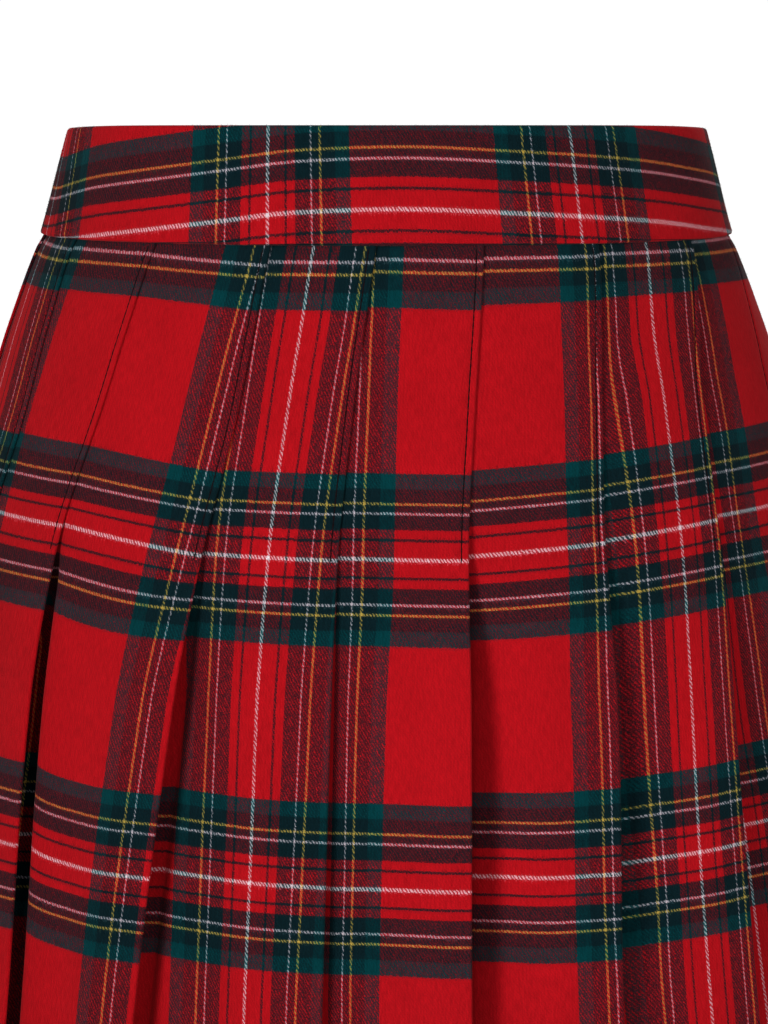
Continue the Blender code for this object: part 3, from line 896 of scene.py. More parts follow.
@dataclass
class Nap:
    """Short fibres that stand off the brushed cloth, coloured by the yarn beneath."""

    per_square_metre: float = 160000.0
    shortest: float = 0.0006
    longest: float = 0.0015
    radius: float = 0.000036
    stray: float = 0.6
    droop: float = -0.30
    upright: Tuple[float, float] = (0.15, 0.75)
    leaning: float = 0.7

    def build(self, name: str, points: np.ndarray, places: np.ndarray, lift: float,
              material: bpy.types.Material, seed: int) -> bpy.types.Object:
        """Scatter fibres over grids of cloth and make them one piece.

        Args:
            name: The piece's name.
            points: Grids of X, Y and Z: one, rows and columns of each.
            places: The same grids' places in the check.
            lift: Distance from the grid to the cloth's face.
            material: The cloth's finish.
            seed: Start of the scatter.

        Returns:
            The object, linked to the scene.
        """
        random = np.random.default_rng(seed)
        down = points[:, 1:, :-1] - points[:, :-1, :-1]
        on = points[:, :-1, 1:] - points[:, :-1, :-1]
        normal = np.cross(on, down)
        area = np.linalg.norm(normal, axis=-1)
        total = int(area.sum() * self.per_square_metre)
        cells = random.choice(area.size, size=total, p=(area / area.sum()).reshape(-1))
        grid, row, column = np.unravel_index(cells, area.shape)
        s, t = random.random((2, total, 1))
        outward = normal[grid, row, column] / area[grid, row, column][:, None]
        axis = points[grid, row, column] * np.array((1.0, 1.0, 0.0))
        outward *= np.sign(np.sum(outward * axis, axis=1))[:, None]

        def between(values: np.ndarray) -> np.ndarray:
            """Values inside the chosen cells.

            Args:
                values: A value at each corner of the grids.

            Returns:
                One value for each fibre's place.
            """
            near = values[grid, row, column] * (1 - s) + values[grid, row + 1, column] * s
            far = values[grid, row, column + 1] * (1 - s) + values[grid, row + 1, column + 1] * s
            return near * (1 - t) + far * t

        roots = between(points) + outward * lift
        spots = between(places)
        lean = random.normal(size=(total, 3)) * self.stray + np.array((0.0, 0.0, self.droop))
        length = random.uniform(self.shortest, self.longest, (total, 1))
        aim = outward * random.uniform(*self.upright, (total, 1)) + lean * self.leaning
        aim /= np.linalg.norm(aim, axis=1)[:, None]
        side = np.cross(aim, outward + 0.01)
        side *= self.radius / np.linalg.norm(side, axis=1)[:, None]
        up = np.cross(side, aim)
        verts = np.stack((roots + side, roots - 0.5 * side + 0.87 * up,
                          roots - 0.5 * side - 0.87 * up, roots + aim * length), axis=1)
        triangles = np.array(((0, 1, 3), (1, 2, 3), (2, 0, 3), (2, 1, 0)))
        faces = (np.arange(total)[:, None, None] * 4 + triangles[None]).reshape(-1, 3)
        piece = cloth_object(name, verts, faces, np.repeat(spots, 12, axis=0), material)
        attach(piece, SKIRT_BODY)
        LOG.info("%s: %d fibres", name, total)
        return piece


# Finishes

Socket = bpy.types.NodeSocket


class Bench:
    """A node tree with short ways to add and join nodes."""

    def __init__(self, tree: bpy.types.NodeTree) -> None:
        """Work on one tree."""
        self.tree = tree

    def node(self, kind: str, **settings: object) -> bpy.types.Node:
        """Add a node.

        Args:
            kind: Its type.
            **settings: Properties to set on it.

        Returns:
            The node.
        """
        made = self.tree.nodes.new(kind)
        for key, value in settings.items():
            setattr(made, key, value)
        return made

    def feed(self, socket: Socket, value: object) -> None:
        """Join a socket to another, or set its value.

        Args:
            socket: The input.
            value: A socket, a value, or nothing to leave the input as it is.
        """
        if isinstance(value, bpy.types.NodeSocket):
            self.tree.links.new(value, socket)
        elif value is not None:
            socket.default_value = value

    def math(self, operation: str, a: object, b: object = None, clamp: bool = False) -> Socket:
        """An operation on one or two numbers, each a socket or a value.

        Args:
            operation: Blender's name of the operation.
            a: The first number.
            b: The second number, if there is one.
            clamp: Whether the result is kept from 0 to 1.

        Returns:
            The result's socket.
        """
        made = self.node("ShaderNodeMath", operation=operation, use_clamp=clamp)
        self.feed(made.inputs[0], a)
        if b is not None:
            self.feed(made.inputs[1], b)
        return made.outputs[0]

    def plus(self, a: object, b: object, clamp: bool = False) -> Socket:
        """The sum of two numbers."""
        return self.math("ADD", a, b, clamp)

    def minus(self, a: object, b: object) -> Socket:
        """The first number less the second."""
        return self.math("SUBTRACT", a, b)

    def times(self, a: object, b: object) -> Socket:
        """The product of two numbers."""
        return self.math("MULTIPLY", a, b)

    def shaken(self, value: object, noise: Socket, reach: float) -> Socket:
        """A value moved by noise.

        Args:
            value: The value.
            noise: Noise from 0 to 1.
            reach: How far apart the noise's ends move it.

        Returns:
            The moved value.
        """
        return self.plus(value, self.times(self.minus(noise, 0.5), reach))

    def mix(self, factor: object, a: object, b: object) -> Socket:
        """Blend two colours.

        Args:
            factor: Share of the second colour.
            a: The first colour.
            b: The second colour.

        Returns:
            The blend.
        """
        made = self.node("ShaderNodeMix", data_type="RGBA")
        self.feed(made.inputs["Factor"], factor)
        self.feed(made.inputs[6], a)
        self.feed(made.inputs[7], b)
        return made.outputs[2]

    def combine(self, x: object, y: object, z: object = 0.0) -> Socket:
        """A vector from three numbers.

        Args:
            x: The first number.
            y: The second number.
            z: The third number.

        Returns:
            The vector.
        """
        made = self.node("ShaderNodeCombineXYZ")
        for socket, value in zip(made.inputs, (x, y, z)):
            self.feed(socket, value)
        return made.outputs[0]

    def vector(self, operation: str, a: object, b: object) -> Socket:
        """An operation on two vectors or colours.

        Args:
            operation: Its name.
            a: The first vector.
            b: The second vector.

        Returns:
            The result.
        """
        made = self.node("ShaderNodeVectorMath", operation=operation)
        self.feed(made.inputs[0], a)
        self.feed(made.inputs[1], b)
        return made.outputs[0]

    def stretched(self, value: Socket, low: float, high: float) -> Socket:
        """A value with one stretch of it spread over 0 to 1.

        Args:
            value: The value.
            low: Where the stretch starts.
            high: Where it ends.

        Returns:
            The stretched value, from 0 to 1.
        """
        made = self.node("ShaderNodeMapRange")
        self.feed(made.inputs["Value"], value)
        made.inputs["From Min"].default_value = low
        made.inputs["From Max"].default_value = high
        return made.outputs["Result"]

    def noise(self, place: Socket, scale: float, detail: float = 2.0) -> Socket:
        """Soft noise at a place.

        Args:
            place: The place.
            scale: How fine the noise is.
            detail: How many finer layers are added.

        Returns:
            The noise, from 0 to 1.
        """
        made = self.node("ShaderNodeTexNoise", noise_dimensions="2D")
        self.feed(made.inputs["Vector"], place)
        made.inputs["Scale"].default_value = scale
        made.inputs["Detail"].default_value = detail
        return made.outputs["Fac"]

    def bump(self, normal: Socket, height: Socket, strength: float, distance: float) -> None:
        """Feed a normal with a relief.

        Args:
            normal: The shader's socket.
            height: Height of the relief, about 0 to 1.
            strength: Share of the relief that shows.
            distance: Metres that a height of 1 stands for.
        """
        made = self.node("ShaderNodeBump")
        made.inputs["Strength"].default_value = strength
        made.inputs["Distance"].default_value = distance
        self.feed(made.inputs["Height"], height)
        self.feed(normal, made.outputs[0])


def new_material(name: str) -> Tuple[bpy.types.Material, Bench, bpy.types.Node]:
    """A material with the usual shader.

    Args:
        name: The material's name.

    Returns:
        The material, a bench on its tree and the shader's node.
    """
    material = bpy.data.materials.new(name)
    material.use_nodes = True
    return material, Bench(material.node_tree), material.node_tree.nodes["Principled BSDF"]


def new_group(name: str, inputs: Sequence[Tuple[str, str, object]],
              outputs: Sequence[Tuple[str, str]]) -> bpy.types.NodeTree:
    """An empty shader group with named sockets.

    Args:
        name: The group's name.
        inputs: Name, kind and default of each input.
        outputs: Name and kind of each output.

    Returns:
        The group's tree.
    """
    tree = bpy.data.node_groups.new(name, "ShaderNodeTree")
    for label, kind, default in inputs:
        socket = tree.interface.new_socket(label, in_out="INPUT", socket_type=kind)
        if default is not None:
            socket.default_value = default
    for label, kind in outputs:
        tree.interface.new_socket(label, in_out="OUTPUT", socket_type=kind)
    return tree


@dataclass(frozen=True)
class Yarns:
    """Colours of the dyed yarns, as the brushed cloth shows them."""

    red: Colour = (0.4150, 0.0046, 0.0088)
    green: Colour = (0.0006, 0.0370, 0.0420)
    black: Colour = (0.0022, 0.0120, 0.0155)
    white: Colour = (0.7600, 0.6600, 0.7000)
    pale: Colour = (0.5600, 0.4600, 0.5100)
    yellow: Colour = (0.5000, 0.3200, 0.0550)

    def rooted(self, yarn: str) -> Tuple[float, float, float, float]:
        """The fourth root of a yarn's colour.

        Args:
            yarn: The yarn's name.

        Returns:
            Red, green and blue, then 0 for the bright yarns and 1 for the plain ones.
        """
        red, green, blue = getattr(self, yarn)
        plain = 0.0 if yarn in ("white", "pale", "yellow") else 1.0
        return red ** 0.25, green ** 0.25, blue ** 0.25, plain


@dataclass(frozen=True)
class Sett:
    """Bands of the check, by distance from its white pivot, mirrored there."""

    name: str
    white: float
    pale: Tuple[float, float]
    yellow: Tuple[float, float]

    def group(self, yarns: Yarns) -> bpy.types.NodeTree:
        """A shader group that gives the yarn's colour at a place in the check.

        Args:
            yarns: The colours of the yarns.

        Returns:
            The group.
        """
        bands = ((0.0, "white"), (self.white, "red"), (17.6, "black"), (20.5, "red"),
                 (29.5, "black"), (self.pale[0], "pale"), (self.pale[1], "black"),
                 (self.yellow[0], "yellow"), (self.yellow[1], "black"), (72.0, "green"),
                 (87.3, "red"))
        tree = new_group(self.name, [("Repeats", "NodeSocketFloat", 0.0)],
                         [("Color", "NodeSocketColor"), ("Plain", "NodeSocketFloat")])
        bench = Bench(tree)
        entry = bench.node("NodeGroupInput")
        leave = bench.node("NodeGroupOutput")
        folded = bench.math("PINGPONG", entry.outputs[0], 0.5)
        place = bench.times(folded, 2.0)
        ramp = bench.node("ShaderNodeValToRGB")
        ramp.color_ramp.interpolation = "CONSTANT"
        elements = ramp.color_ramp.elements
        for number, (distance, yarn) in enumerate(bands):
            where = distance / (0.5 * SETT)
            element = elements[number] if number < 2 else elements.new(where)
            element.position = where
            element.color = yarns.rooted(yarn)
        bench.feed(ramp.inputs[0], place)
        bench.feed(leave.inputs[0], ramp.outputs[0])
        bench.feed(leave.inputs[1], ramp.outputs[1])
        return tree


def twill_group(warp_sett: bpy.types.NodeTree,
                weft_sett: bpy.types.NodeTree) -> bpy.types.NodeTree:
    """A brushed twill woven in the check, as a shader group.

    Args:
        warp_sett: The group that colours the yarns along the cloth.
        weft_sett: The group that colours the yarns across it.

    Returns:
        A group with colour, height and roughness at a place on the cloth.
    """
    tree = new_group(
        "brushed_twill",
        [("Cloth", "NodeSocketVector", None), ("Weft Share", "NodeSocketFloat", 0.60),
         ("Rib", "NodeSocketFloat", 0.15), ("Line Rib", "NodeSocketFloat", 0.30),
         ("Nap", "NodeSocketFloat", 3.0)],
        [("Color", "NodeSocketColor"), ("Height", "NodeSocketFloat"),
         ("Roughness", "NodeSocketFloat")])
    bench = Bench(tree)
    entry = bench.node("NodeGroupInput")
    leave = bench.node("NodeGroupOutput")
    split = bench.node("ShaderNodeSeparateXYZ")
    bench.feed(split.inputs[0], entry.outputs["Cloth"])
    across = bench.times(split.outputs[0], float(WARP_THREADS))
    along = bench.times(split.outputs[1], float(WEFT_THREADS))

    fibres = bench.stretched(bench.noise(bench.combine(
        across, bench.times(along, 0.22)), 0.50, 3.0), 0.34, 0.66)
    tufts = bench.stretched(bench.noise(bench.combine(across, along), 0.20, 3.0), 0.30, 0.70)
    grain = bench.stretched(bench.noise(bench.combine(
        bench.plus(across, 71.3), along), 0.85, 2.0), 0.25, 0.75)
    clouds = bench.noise(bench.combine(across, along), 0.018, 2.0)

    def yarn(thread: Socket, threads: int,
             sett: bpy.types.NodeTree) -> Tuple[Socket, Socket]:
        """Look up the yarn of one thread.

        Args:
            thread: The thread's number.
            threads: How many threads one repeat has.
            sett: The group that holds the bands.

        Returns:
            The yarn's colour, and whether it is a plain one.
        """
        made = bench.node("ShaderNodeGroup", node_tree=sett)
        bench.feed(made.inputs[0], bench.math("DIVIDE", thread, float(threads)))
        return made.outputs[0], made.outputs[1]

    # Which yarns cross here, and the fuzz that the brush pulled over from nearby.
    warp_thread = bench.plus(bench.math("FLOOR", bench.shaken(across, grain, 1.3)), 0.5)
    weft_thread = bench.math("ROUND", bench.shaken(along, fibres, 1.0))
    warp, warp_plain = yarn(warp_thread, WARP_THREADS, warp_sett)
    weft, weft_plain = yarn(weft_thread, WEFT_THREADS, weft_sett)
    drop = bench.times(bench.minus(bench.plus(fibres, grain), 0.96), entry.outputs["Nap"])
    fuzz = yarn(bench.minus(along, drop), WEFT_THREADS, weft_sett)[0]
    parts = bench.node("ShaderNodeSeparateColor")
    bench.feed(parts.inputs[0], fuzz)
    whiteness = bench.stretched(parts.outputs[1], 0.83, 0.90)
    weft = bench.mix(bench.plus(0.22, bench.times(whiteness, 0.20)), weft, fuzz)

    # How much of the weft shows: ribs along the twill, stronger in the bright lines.
    turns = bench.times(bench.minus(across, along), 2.0 * math.pi / 4.0)
    rib = bench.math("SINE", bench.shaken(turns, tufts, 2.3))
    line = bench.minus(1.0, bench.times(warp_plain, weft_plain))
    reach = bench.plus(bench.times(entry.outputs["Rib"], bench.plus(0.45, tufts)),
                       bench.times(line, entry.outputs["Line Rib"]))
    loose = bench.shaken(bench.times(bench.minus(grain, 0.5), 0.55), tufts, 0.18)
    share = bench.plus(bench.plus(entry.outputs["Weft Share"], loose),
                       bench.times(rib, reach), clamp=True)
    share = bench.math("MAXIMUM", share, bench.times(line, 0.20))
    share = bench.math("MINIMUM", share, bench.minus(1.0, bench.times(line, 0.16)))

    # The colours are fourth roots, which blend evenly, so the blend is raised again.
    blended = bench.mix(share, warp, weft)
    squared = bench.vector("MULTIPLY", blended, blended)
    plain = bench.vector("MULTIPLY", squared, squared)
    # The speck and the clouds vary the tone at random. relief is painted shade: it darkens the
    # colour in the troughs of the twill's ribs, where the bump is low.
    speck = bench.plus(0.74, bench.times(bench.plus(grain, fibres), 0.25))
    relief = bench.plus(1.0, bench.times(rib, 0.06))
    clouds_and_rib_shade = bench.times(relief, bench.plus(0.90, bench.times(clouds, 0.20)))
    shade = bench.times(speck, clouds_and_rib_shade)
    bench.feed(leave.inputs["Color"], bench.vector(
        "MULTIPLY", plain, bench.combine(shade, shade, shade)))
    bench.feed(leave.inputs["Height"], bench.plus(
        bench.times(rib, 0.18), bench.plus(bench.times(grain, 0.45), bench.times(tufts, 0.55))))
    bench.feed(leave.inputs["Roughness"], bench.plus(0.82, bench.times(grain, 0.16)))
    return tree


@dataclass
class TartanCloth:
    """Brushed twill in a red, green and black check."""

    name: str = "tartan_twill"
    bump: float = 0.55
    bump_distance: float = 0.00022
    sheen: float = 0.05
    material: Optional[bpy.types.Material] = None

    def make(self, twill: bpy.types.NodeTree) -> "TartanCloth":
        """Build the material from the shared group.

        Args:
            twill: The group of the brushed twill.

        Returns:
            This finish, with its material.
        """
        self.material, bench, shader = new_material(self.name)
        uv = bench.node("ShaderNodeUVMap", uv_map="check")
        weave = bench.node("ShaderNodeGroup", node_tree=twill)
        bench.feed(weave.inputs["Cloth"], uv.outputs[0])
        bench.feed(shader.inputs["Base Color"], weave.outputs["Color"])
        bench.feed(shader.inputs["Roughness"], weave.outputs["Roughness"])
        bench.bump(shader.inputs["Normal"], weave.outputs["Height"], self.bump,
                   self.bump_distance)
        shader.inputs["Sheen Weight"].default_value = self.sheen
        shader.inputs["Sheen Roughness"].default_value = 0.45
        shader.inputs["Sheen Tint"].default_value = (1.0, 0.80, 0.78, 1.0)
        shader.inputs["Specular IOR Level"].default_value = 0.03
        return self


@dataclass(frozen=True)
class PlainFinish:
    """A thread, tape or metal finish with its own fine relief."""

    name: str
    colour: Colour
    roughness: float
    metallic: float
    scale: float
    relief: float
    specular: float = 0.05

    def make(self) -> bpy.types.Material:
        """Build the material.

        Returns:
            The material.
        """
        material, bench, shader = new_material(self.name)
        place = bench.node("ShaderNodeTexCoord").outputs["Object"]
        noise = bench.node("ShaderNodeTexNoise")
        bench.feed(noise.inputs["Vector"], place)
        noise.inputs["Scale"].default_value = self.scale
        dark = tuple(0.6 * c for c in self.colour) + (1.0,)
        light = tuple(1.35 * c for c in self.colour) + (1.0,)
        bench.feed(shader.inputs["Base Color"], bench.mix(noise.outputs["Fac"], dark, light))
        bench.feed(shader.inputs["Roughness"], bench.plus(
            self.roughness - 0.08, bench.times(noise.outputs["Fac"], 0.16)))
        shader.inputs["Metallic"].default_value = self.metallic
        shader.inputs["Specular IOR Level"].default_value = self.specular
        bench.bump(shader.inputs["Normal"], noise.outputs["Fac"], self.relief, 0.0001)
        return material


class Plain(Enum):
    """Finishes of the small hard pieces and threads."""

    THREAD = PlainFinish("stitch_thread", (0.010, 0.004, 0.005), 0.90, 0.0, 2600.0, 0.35)
    TAPE = PlainFinish("zip_weave", (0.018, 0.018, 0.022), 0.85, 0.0, 1500.0, 0.50)
    METAL = PlainFinish("zip_metal", (0.20, 0.20, 0.21), 0.32, 1.0, 500.0, 0.12, 0.5)


# The waistband

@dataclass
class Waistband:
    """Three pieces of shaped band, with the cloth turned over its top edge."""

    depth: float = BAND_DEPTH
    wall: float = 0.0028
    proud: float = 0.0003
    top_turn: float = 0.0014
    foot_turn: float = 0.0010
    face_rows: int = 20
    inside_rows: int = 8
    top_angles: Tuple[float, ...] = (25.0, 50.0, 75.0, 105.0, 130.0, 155.0)
    foot_angles: Tuple[float, ...] = (40.0, 90.0, 140.0)
    slot: float = 0.0016
    seam_gap: float = 0.0003
    front_drop: float = 0.0019
    corner_drop: float = 0.0012
    pivot_arc: float = -0.0458
    pivot_depth: float = 0.0306
    warp_scale: float = 0.000355
    warp_growth: float = 0.000016
    weft_scale: float = 0.000401
    ripple_height: float = 0.00022

    def profile(self) -> List[Tuple[float, float, float]]:
        """Once round the band's section, from the foot of its face over the top.

        Returns:
            For each point its depth, its offset outwards and its place along the cloth.
        """
        half = 0.5 * self.wall
        middle = self.proud - half
        turn = self.top_turn
        low = self.depth - self.foot_turn
        points: List[Tuple[float, float, float]] = []
        for depth in np.linspace(low, turn, self.face_rows):
            points.append((float(depth), self.proud, float(depth)))
        for angle in np.radians(self.top_angles):
            depth = turn - turn * math.sin(angle)
            points.append((depth, middle + half * math.cos(angle), turn - turn * angle))
        end = turn - turn * math.pi
        for depth in np.linspace(turn, low, self.inside_rows):
            points.append((float(depth), middle - half, end - float(depth) + turn))
        for angle in np.radians(self.foot_angles):
            depth = low + self.foot_turn * math.sin(angle)
            points.append((depth, middle - half * math.cos(angle), depth + 0.002))
        return points

    def weft_drop(self, degrees: float) -> float:
        """How far the curved cut lets the weft fall away from the middle.

        Args:
            degrees: Angle round the band, 0 at the middle of the front.

        Returns:
            The drop, in parts of a repeat.
        """
        table = ((-180.0, 0.0), (-110.0, 40.0), (-79.0, 42.0), (-57.0, 29.0), (-41.0, 20.0),
                 (-28.0, 12.0), (-14.0, 3.0), (2.0, 0.0), (22.0, 4.5), (47.0, 13.0),
                 (68.0, 24.0), (100.0, 34.0), (180.0, 0.0))
        return float(smooth(degrees, [r[0] for r in table], [r[1] for r in table]))

    def place(self, arc: float, degrees: float, depth: float, along: float) -> Tuple[float, float]:
        """The two places in the check at a point of the band.

        Args:
            arc: Distance round the band from the middle of the front.
            degrees: Angle from the front.
            depth: Depth below the top edge.
            along: Distance along the cloth, which turns over the top edge.

        Returns:
            The places across the warp and along it, in repeats.
        """
        per_part = self.warp_scale + self.warp_growth * min(depth, self.depth) / self.depth
        u = (arc - self.pivot_arc) / per_part
        v = (along - self.pivot_depth) / self.weft_scale - self.weft_drop(degrees)
        return u / SETT, v / SETT

    def level(self, depth: float, degrees: np.ndarray) -> np.ndarray:
        """Real depths round the band, which runs lower at the front.

        Args:
            depth: Depth below the top edge of a plain band.
            degrees: Angles from the front.

        Returns:
            The depth at each angle, in metres.
        """
        front = np.maximum(np.cos(np.radians(degrees)), 0.0) ** 0.6
        corner = np.abs(np.sin(np.radians(degrees))) ** 10
        t = depth / self.depth
        return depth + self.front_drop * front * t * t + self.corner_drop * corner * (1.0 - t) ** 4

    def ripple(self, arc: float, depth: float) -> float:
        """Slight unevenness of the band's face.

        Args:
            arc: Distance round the band, in metres.
            depth: Metres below the top edge.

        Returns:
            An offset outwards, in metres.
        """
        wave = math.sin(arc * 95.0 + 0.6) + 0.7 * math.sin(arc * 173.0 + 2.1 + depth * 40.0)
        return self.ripple_height * wave * min(1.0, depth / 0.01)

    def build(self, finish: TartanCloth) -> List[bpy.types.Object]:
        """Make the three pieces.

        Args:
            finish: The cloth.

        Returns:
            The pieces.
        """
        profile = self.profile()
        half = 0.5 * self.seam_gap
        slot = 0.5 * self.slot
        spans = {"waistband_front": (-1.0, 1.0, 200), "waistband_back_left": (1.0, 2.0, 100),
                 "waistband_back_right": (-2.0, -1.0, 100)}
        pieces = []
        ovals = [Oval(p[0]) for p in profile]
        outside = self.face_rows + len(self.top_angles)
        for name, (first, last, count) in spans.items():
            points = np.zeros((len(profile) + 1, count + 1, 3))
            places = np.zeros((len(profile) + 1, count + 1, 2))
            for r in range(len(profile) + 1):
                depth, offset, along = profile[r % len(profile)]
                oval = ovals[r % len(profile)]
                quarter = oval.arc_of(90.0)
                ends = {-2.0: -0.5 * oval.length + slot, 2.0: 0.5 * oval.length - slot,
                        -1.0: -quarter + (half if first == -1.0 else -half),
                        1.0: quarter + (half if first == 1.0 else -half)}
                arcs = np.linspace(ends[first], ends[last], count + 1)
                angles = np.degrees(np.interp(arcs, oval.along, oval.angles))
                offsets = np.array([offset + self.ripple(float(a), depth) for a in arcs])
                points[r, :, :2] = oval.place(arcs, offsets)
                points[r, :, 2] = -self.level(depth, angles)
                if r == len(profile):
                    along = profile[0][2]
                for c in range(count + 1):
                    places[r, c] = self.place(float(arcs[c]), float(angles[c]), depth, along)
            piece = sheet_object(name + "_cloth", points, places, finish.material)
            close_ends(piece, len(profile) + 1, count + 1)
            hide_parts(name)
            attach(piece, SKIRT_BODY)
            width = Oval(0.02).length * (last - first) / 4.0
            pieces.append(piece)
            nap = Nap(per_square_metre=300000.0, longest=0.0011).build(
                name + "_nap", points[None, :outside], places[None, :outside], 0.0,
                finish.material, count)
            LOG.info("%s: %d faces", piece.name, len(piece.data.polygons))
        return pieces


def close_ends(piece: bpy.types.Object, rows: int, columns: int) -> None:
    """Weld a tube's long seam, fill its two ends and turn its faces outwards.

    Args:
        piece: The tube, a grid of points.
        rows: Points once round the tube, the first repeated last.
        columns: Points along it.
    """
    work = bmesh.new()
    work.from_mesh(piece.data)
    work.verts.ensure_lookup_table()
    layer = work.loops.layers.uv.active
    for column in (0, columns - 1):
        ring = [work.verts[row * columns + column] for row in range(rows - 1)]
        face = work.faces.new(ring)
        near = work.verts[(rows // 3) * columns + column].link_loops[0][layer].uv.copy()
        for loop in face.loops:
            loop[layer].uv = near
    bmesh.ops.remove_doubles(work, verts=work.verts, dist=0.00002)
    bmesh.ops.recalc_face_normals(work, faces=work.faces)
    work.to_mesh(piece.data)
    work.free()


# Stitching and the zip

class Threads:
    """Short closed tubes of six sides, gathered into one piece."""

    sides: int = 6

    def __init__(self) -> None:
        """Start with no tubes."""
        self.verts: List[Tuple[float, float, float]] = []
        self.faces: List[Tuple[int, ...]] = []

    @classmethod
    def angles(cls) -> List[float]:
        """Angles of the points once round a tube."""
        return [2.0 * math.pi * k / cls.sides for k in range(cls.sides)]

    def add(self, rings: Sequence[Sequence[Sequence[float]]]) -> None:
        """Join rings of points into a tube and cap its ends.

        Args:
            rings: The rings in order, each of six points.
        """
        base = len(self.verts)
        for ring in rings:
            self.verts.extend(tuple(point) for point in ring)
        for number in range(len(rings) - 1):
            a = base + number * self.sides
            for k in range(self.sides):
                n = (k + 1) % self.sides
                self.faces.append((a + k, a + n, a + self.sides + n, a + self.sides + k))
        last = base + (len(rings) - 1) * self.sides
        self.faces.append(tuple(base + k for k in reversed(range(self.sides))))
        self.faces.append(tuple(last + k for k in range(self.sides)))

    def piece(self, name: str, finish: bpy.types.Material, slot: str) -> bpy.types.Object:
        """Make all the tubes one piece on the skirt.

        Args:
            name: The piece's name.
            finish: Its material.
            slot: A material slot's name; not used.

        Returns:
            The object, linked to the scene.
        """
        mesh = bpy.data.meshes.new(name)
        mesh.from_pydata(self.verts, [], self.faces)
        mesh.polygons.foreach_set("use_smooth", np.ones(len(self.faces), dtype=bool))
        mesh.materials.append(finish)
        piece = linked(name, mesh)
        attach(piece, SKIRT_BODY)
        LOG.info("%s: %d faces", name, len(self.faces))
        return piece


@dataclass
class Stitching:
    """Rows of edge stitches that hold the pleats down."""

    body: PleatedBody
    top: float = 0.0462
    pitch: float = 0.0030
    length: float = 0.0030
    radius: float = 0.00025
    flatness: float = 1.25
    arch: Tuple[Tuple[float, float], ...] = ((-0.00004, 0.75), (0.00008, 1.0), (-0.00004, 0.75))

    def build(self, finish: bpy.types.Material) -> bpy.types.Object:
        """Make all the stitches as one piece.

        Args:
            finish: The thread.

        Returns:
            The piece.
        """
        threads = Threads()
        count = int((self.body.stitch_end - self.top) / self.pitch)
        for number in range(1, self.body.pleat_total + 1):
            shift = 0.0007 * ((number * 37) % 5) / 5.0
            tops = self.top + shift + self.pitch * np.arange(count)
            depths = np.ravel(np.column_stack((tops, tops + 0.5 * self.length,
                                               tops + self.length)))
            line = self.body.edge_points(number, depths, self.body.stitch_inset, 0.0)
            for i in range(count):
                threads.add(self._stitch(line[3 * i:3 * i + 3]))
        return threads.piece("edge_stitching", finish, "tartan_cloth")

    def _stitch(self, line: np.ndarray) -> List[List[np.ndarray]]:
        """Rings of one stitch, a short arched thread.

        Args:
            line: Its start, middle and end.

        Returns:
            A ring of points at each.
        """
        centre = line.mean(axis=0)
        outward = np.array((centre[0], centre[1], 0.0))
        outward /= np.linalg.norm(outward)
        run = line[2] - line[0]
        run /= np.linalg.norm(run)
        side = np.cross(run, outward)
        rings = []
        for middle, (rise, width) in zip(line, self.arch):
            shifts = [side * math.cos(angle) * self.flatness + outward * math.sin(angle)
                      for angle in Threads.angles()]
            rings.append([middle + outward * rise + shift * self.radius * width
                          for shift in shifts])
        return rings


@dataclass
class BackZip:
    """The closed zip at the middle of the back."""

    top: float = 0.0215
    bottom: float = 0.2045
    tooth_pitch: float = 0.0015
    tooth_reach: float = 0.0016
    tooth_arch: float = 0.00035
    tooth_thickness: float = 0.00032
    tooth_width: float = 0.00042
    offset: float = -0.0036

    def build(self, tape: bpy.types.Material, metal: bpy.types.Material) -> None:
        """Dress the tape, the slider and the pull tab, and add the coil.

        Args:
            tape: The finish of the tape and the coil.
            metal: The finish of the slider and the pull tab.
        """
        node("zip_tape").data.materials.clear()
        node("zip_tape").data.materials.append(tape)
        self._softened("zip_slider", 0.00022, metal, SKIRT_BODY)
        self._softened("zip_pull_tab", 0.00025, metal, TAB_BODY)
        self._coil(tape)

    def _softened(self, name: str, width: float, metal: bpy.types.Material, body: str) -> None:
        """A copy of a hard piece with its edges rounded.

        Args:
            name: The node that it stands for.
            width: Width of the rounding, in metres.
            metal: Its finish.
            body: The body that it rides on.
        """
        source = node(name)
        mesh = source.data.copy()
        mesh.name = name + "_polished"
        mesh.materials.clear()
        mesh.materials.append(metal)
        piece = linked(name + "_polished", mesh)
        piece.matrix_world = source.matrix_world.copy()
        weld = piece.modifiers.new("weld", "WELD")
        weld.merge_threshold = 0.000005
        bevel = piece.modifiers.new("soft_edges", "BEVEL")
        bevel.width = width
        bevel.segments = 2
        bevel.limit_method = "ANGLE"
        bevel.angle_limit = math.radians(40.0)
        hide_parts(name)
        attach(piece, body)
        LOG.info("%s: %d faces", piece.name, len(mesh.polygons))

    def _coil(self, material: bpy.types.Material) -> None:
        """Make the closed coil that shows in the slot, one loop after another.

        Args:
            material: The coil's material.
        """
        threads = Threads()
        for number, depth in enumerate(np.arange(self.top, self.bottom, self.tooth_pitch)):
            y = Oval(float(depth)).back + self.offset
            side = 1.0 if number % 2 else -1.0
            rings = []
            for t in np.linspace(0.0, 1.0, 5):
                x = side * (-self.tooth_reach + 2.0 * self.tooth_reach * t)
                lift = self.tooth_arch * math.sin(math.pi * t)
                rings.append([(x, y + lift + self.tooth_thickness * math.cos(angle),
                               -float(depth) + self.tooth_width * math.sin(angle))
                              for angle in Threads.angles()])
            threads.add(rings)
        threads.piece("zip_coil", material, "tape")


def node(name: str) -> bpy.types.Object:
    """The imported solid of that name."""
    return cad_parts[name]


# The studio

@dataclass(frozen=True)
class Lamp:
    """A square soft light, with an angle of 180 degrees for a beam that isn't narrowed."""

    name: str
    place: Tuple[float, float, float]
    size: float
    power: float
    aim: Tuple[float, float, float] = (0.0, 0.0, -0.2)
    spread: float = 180.0


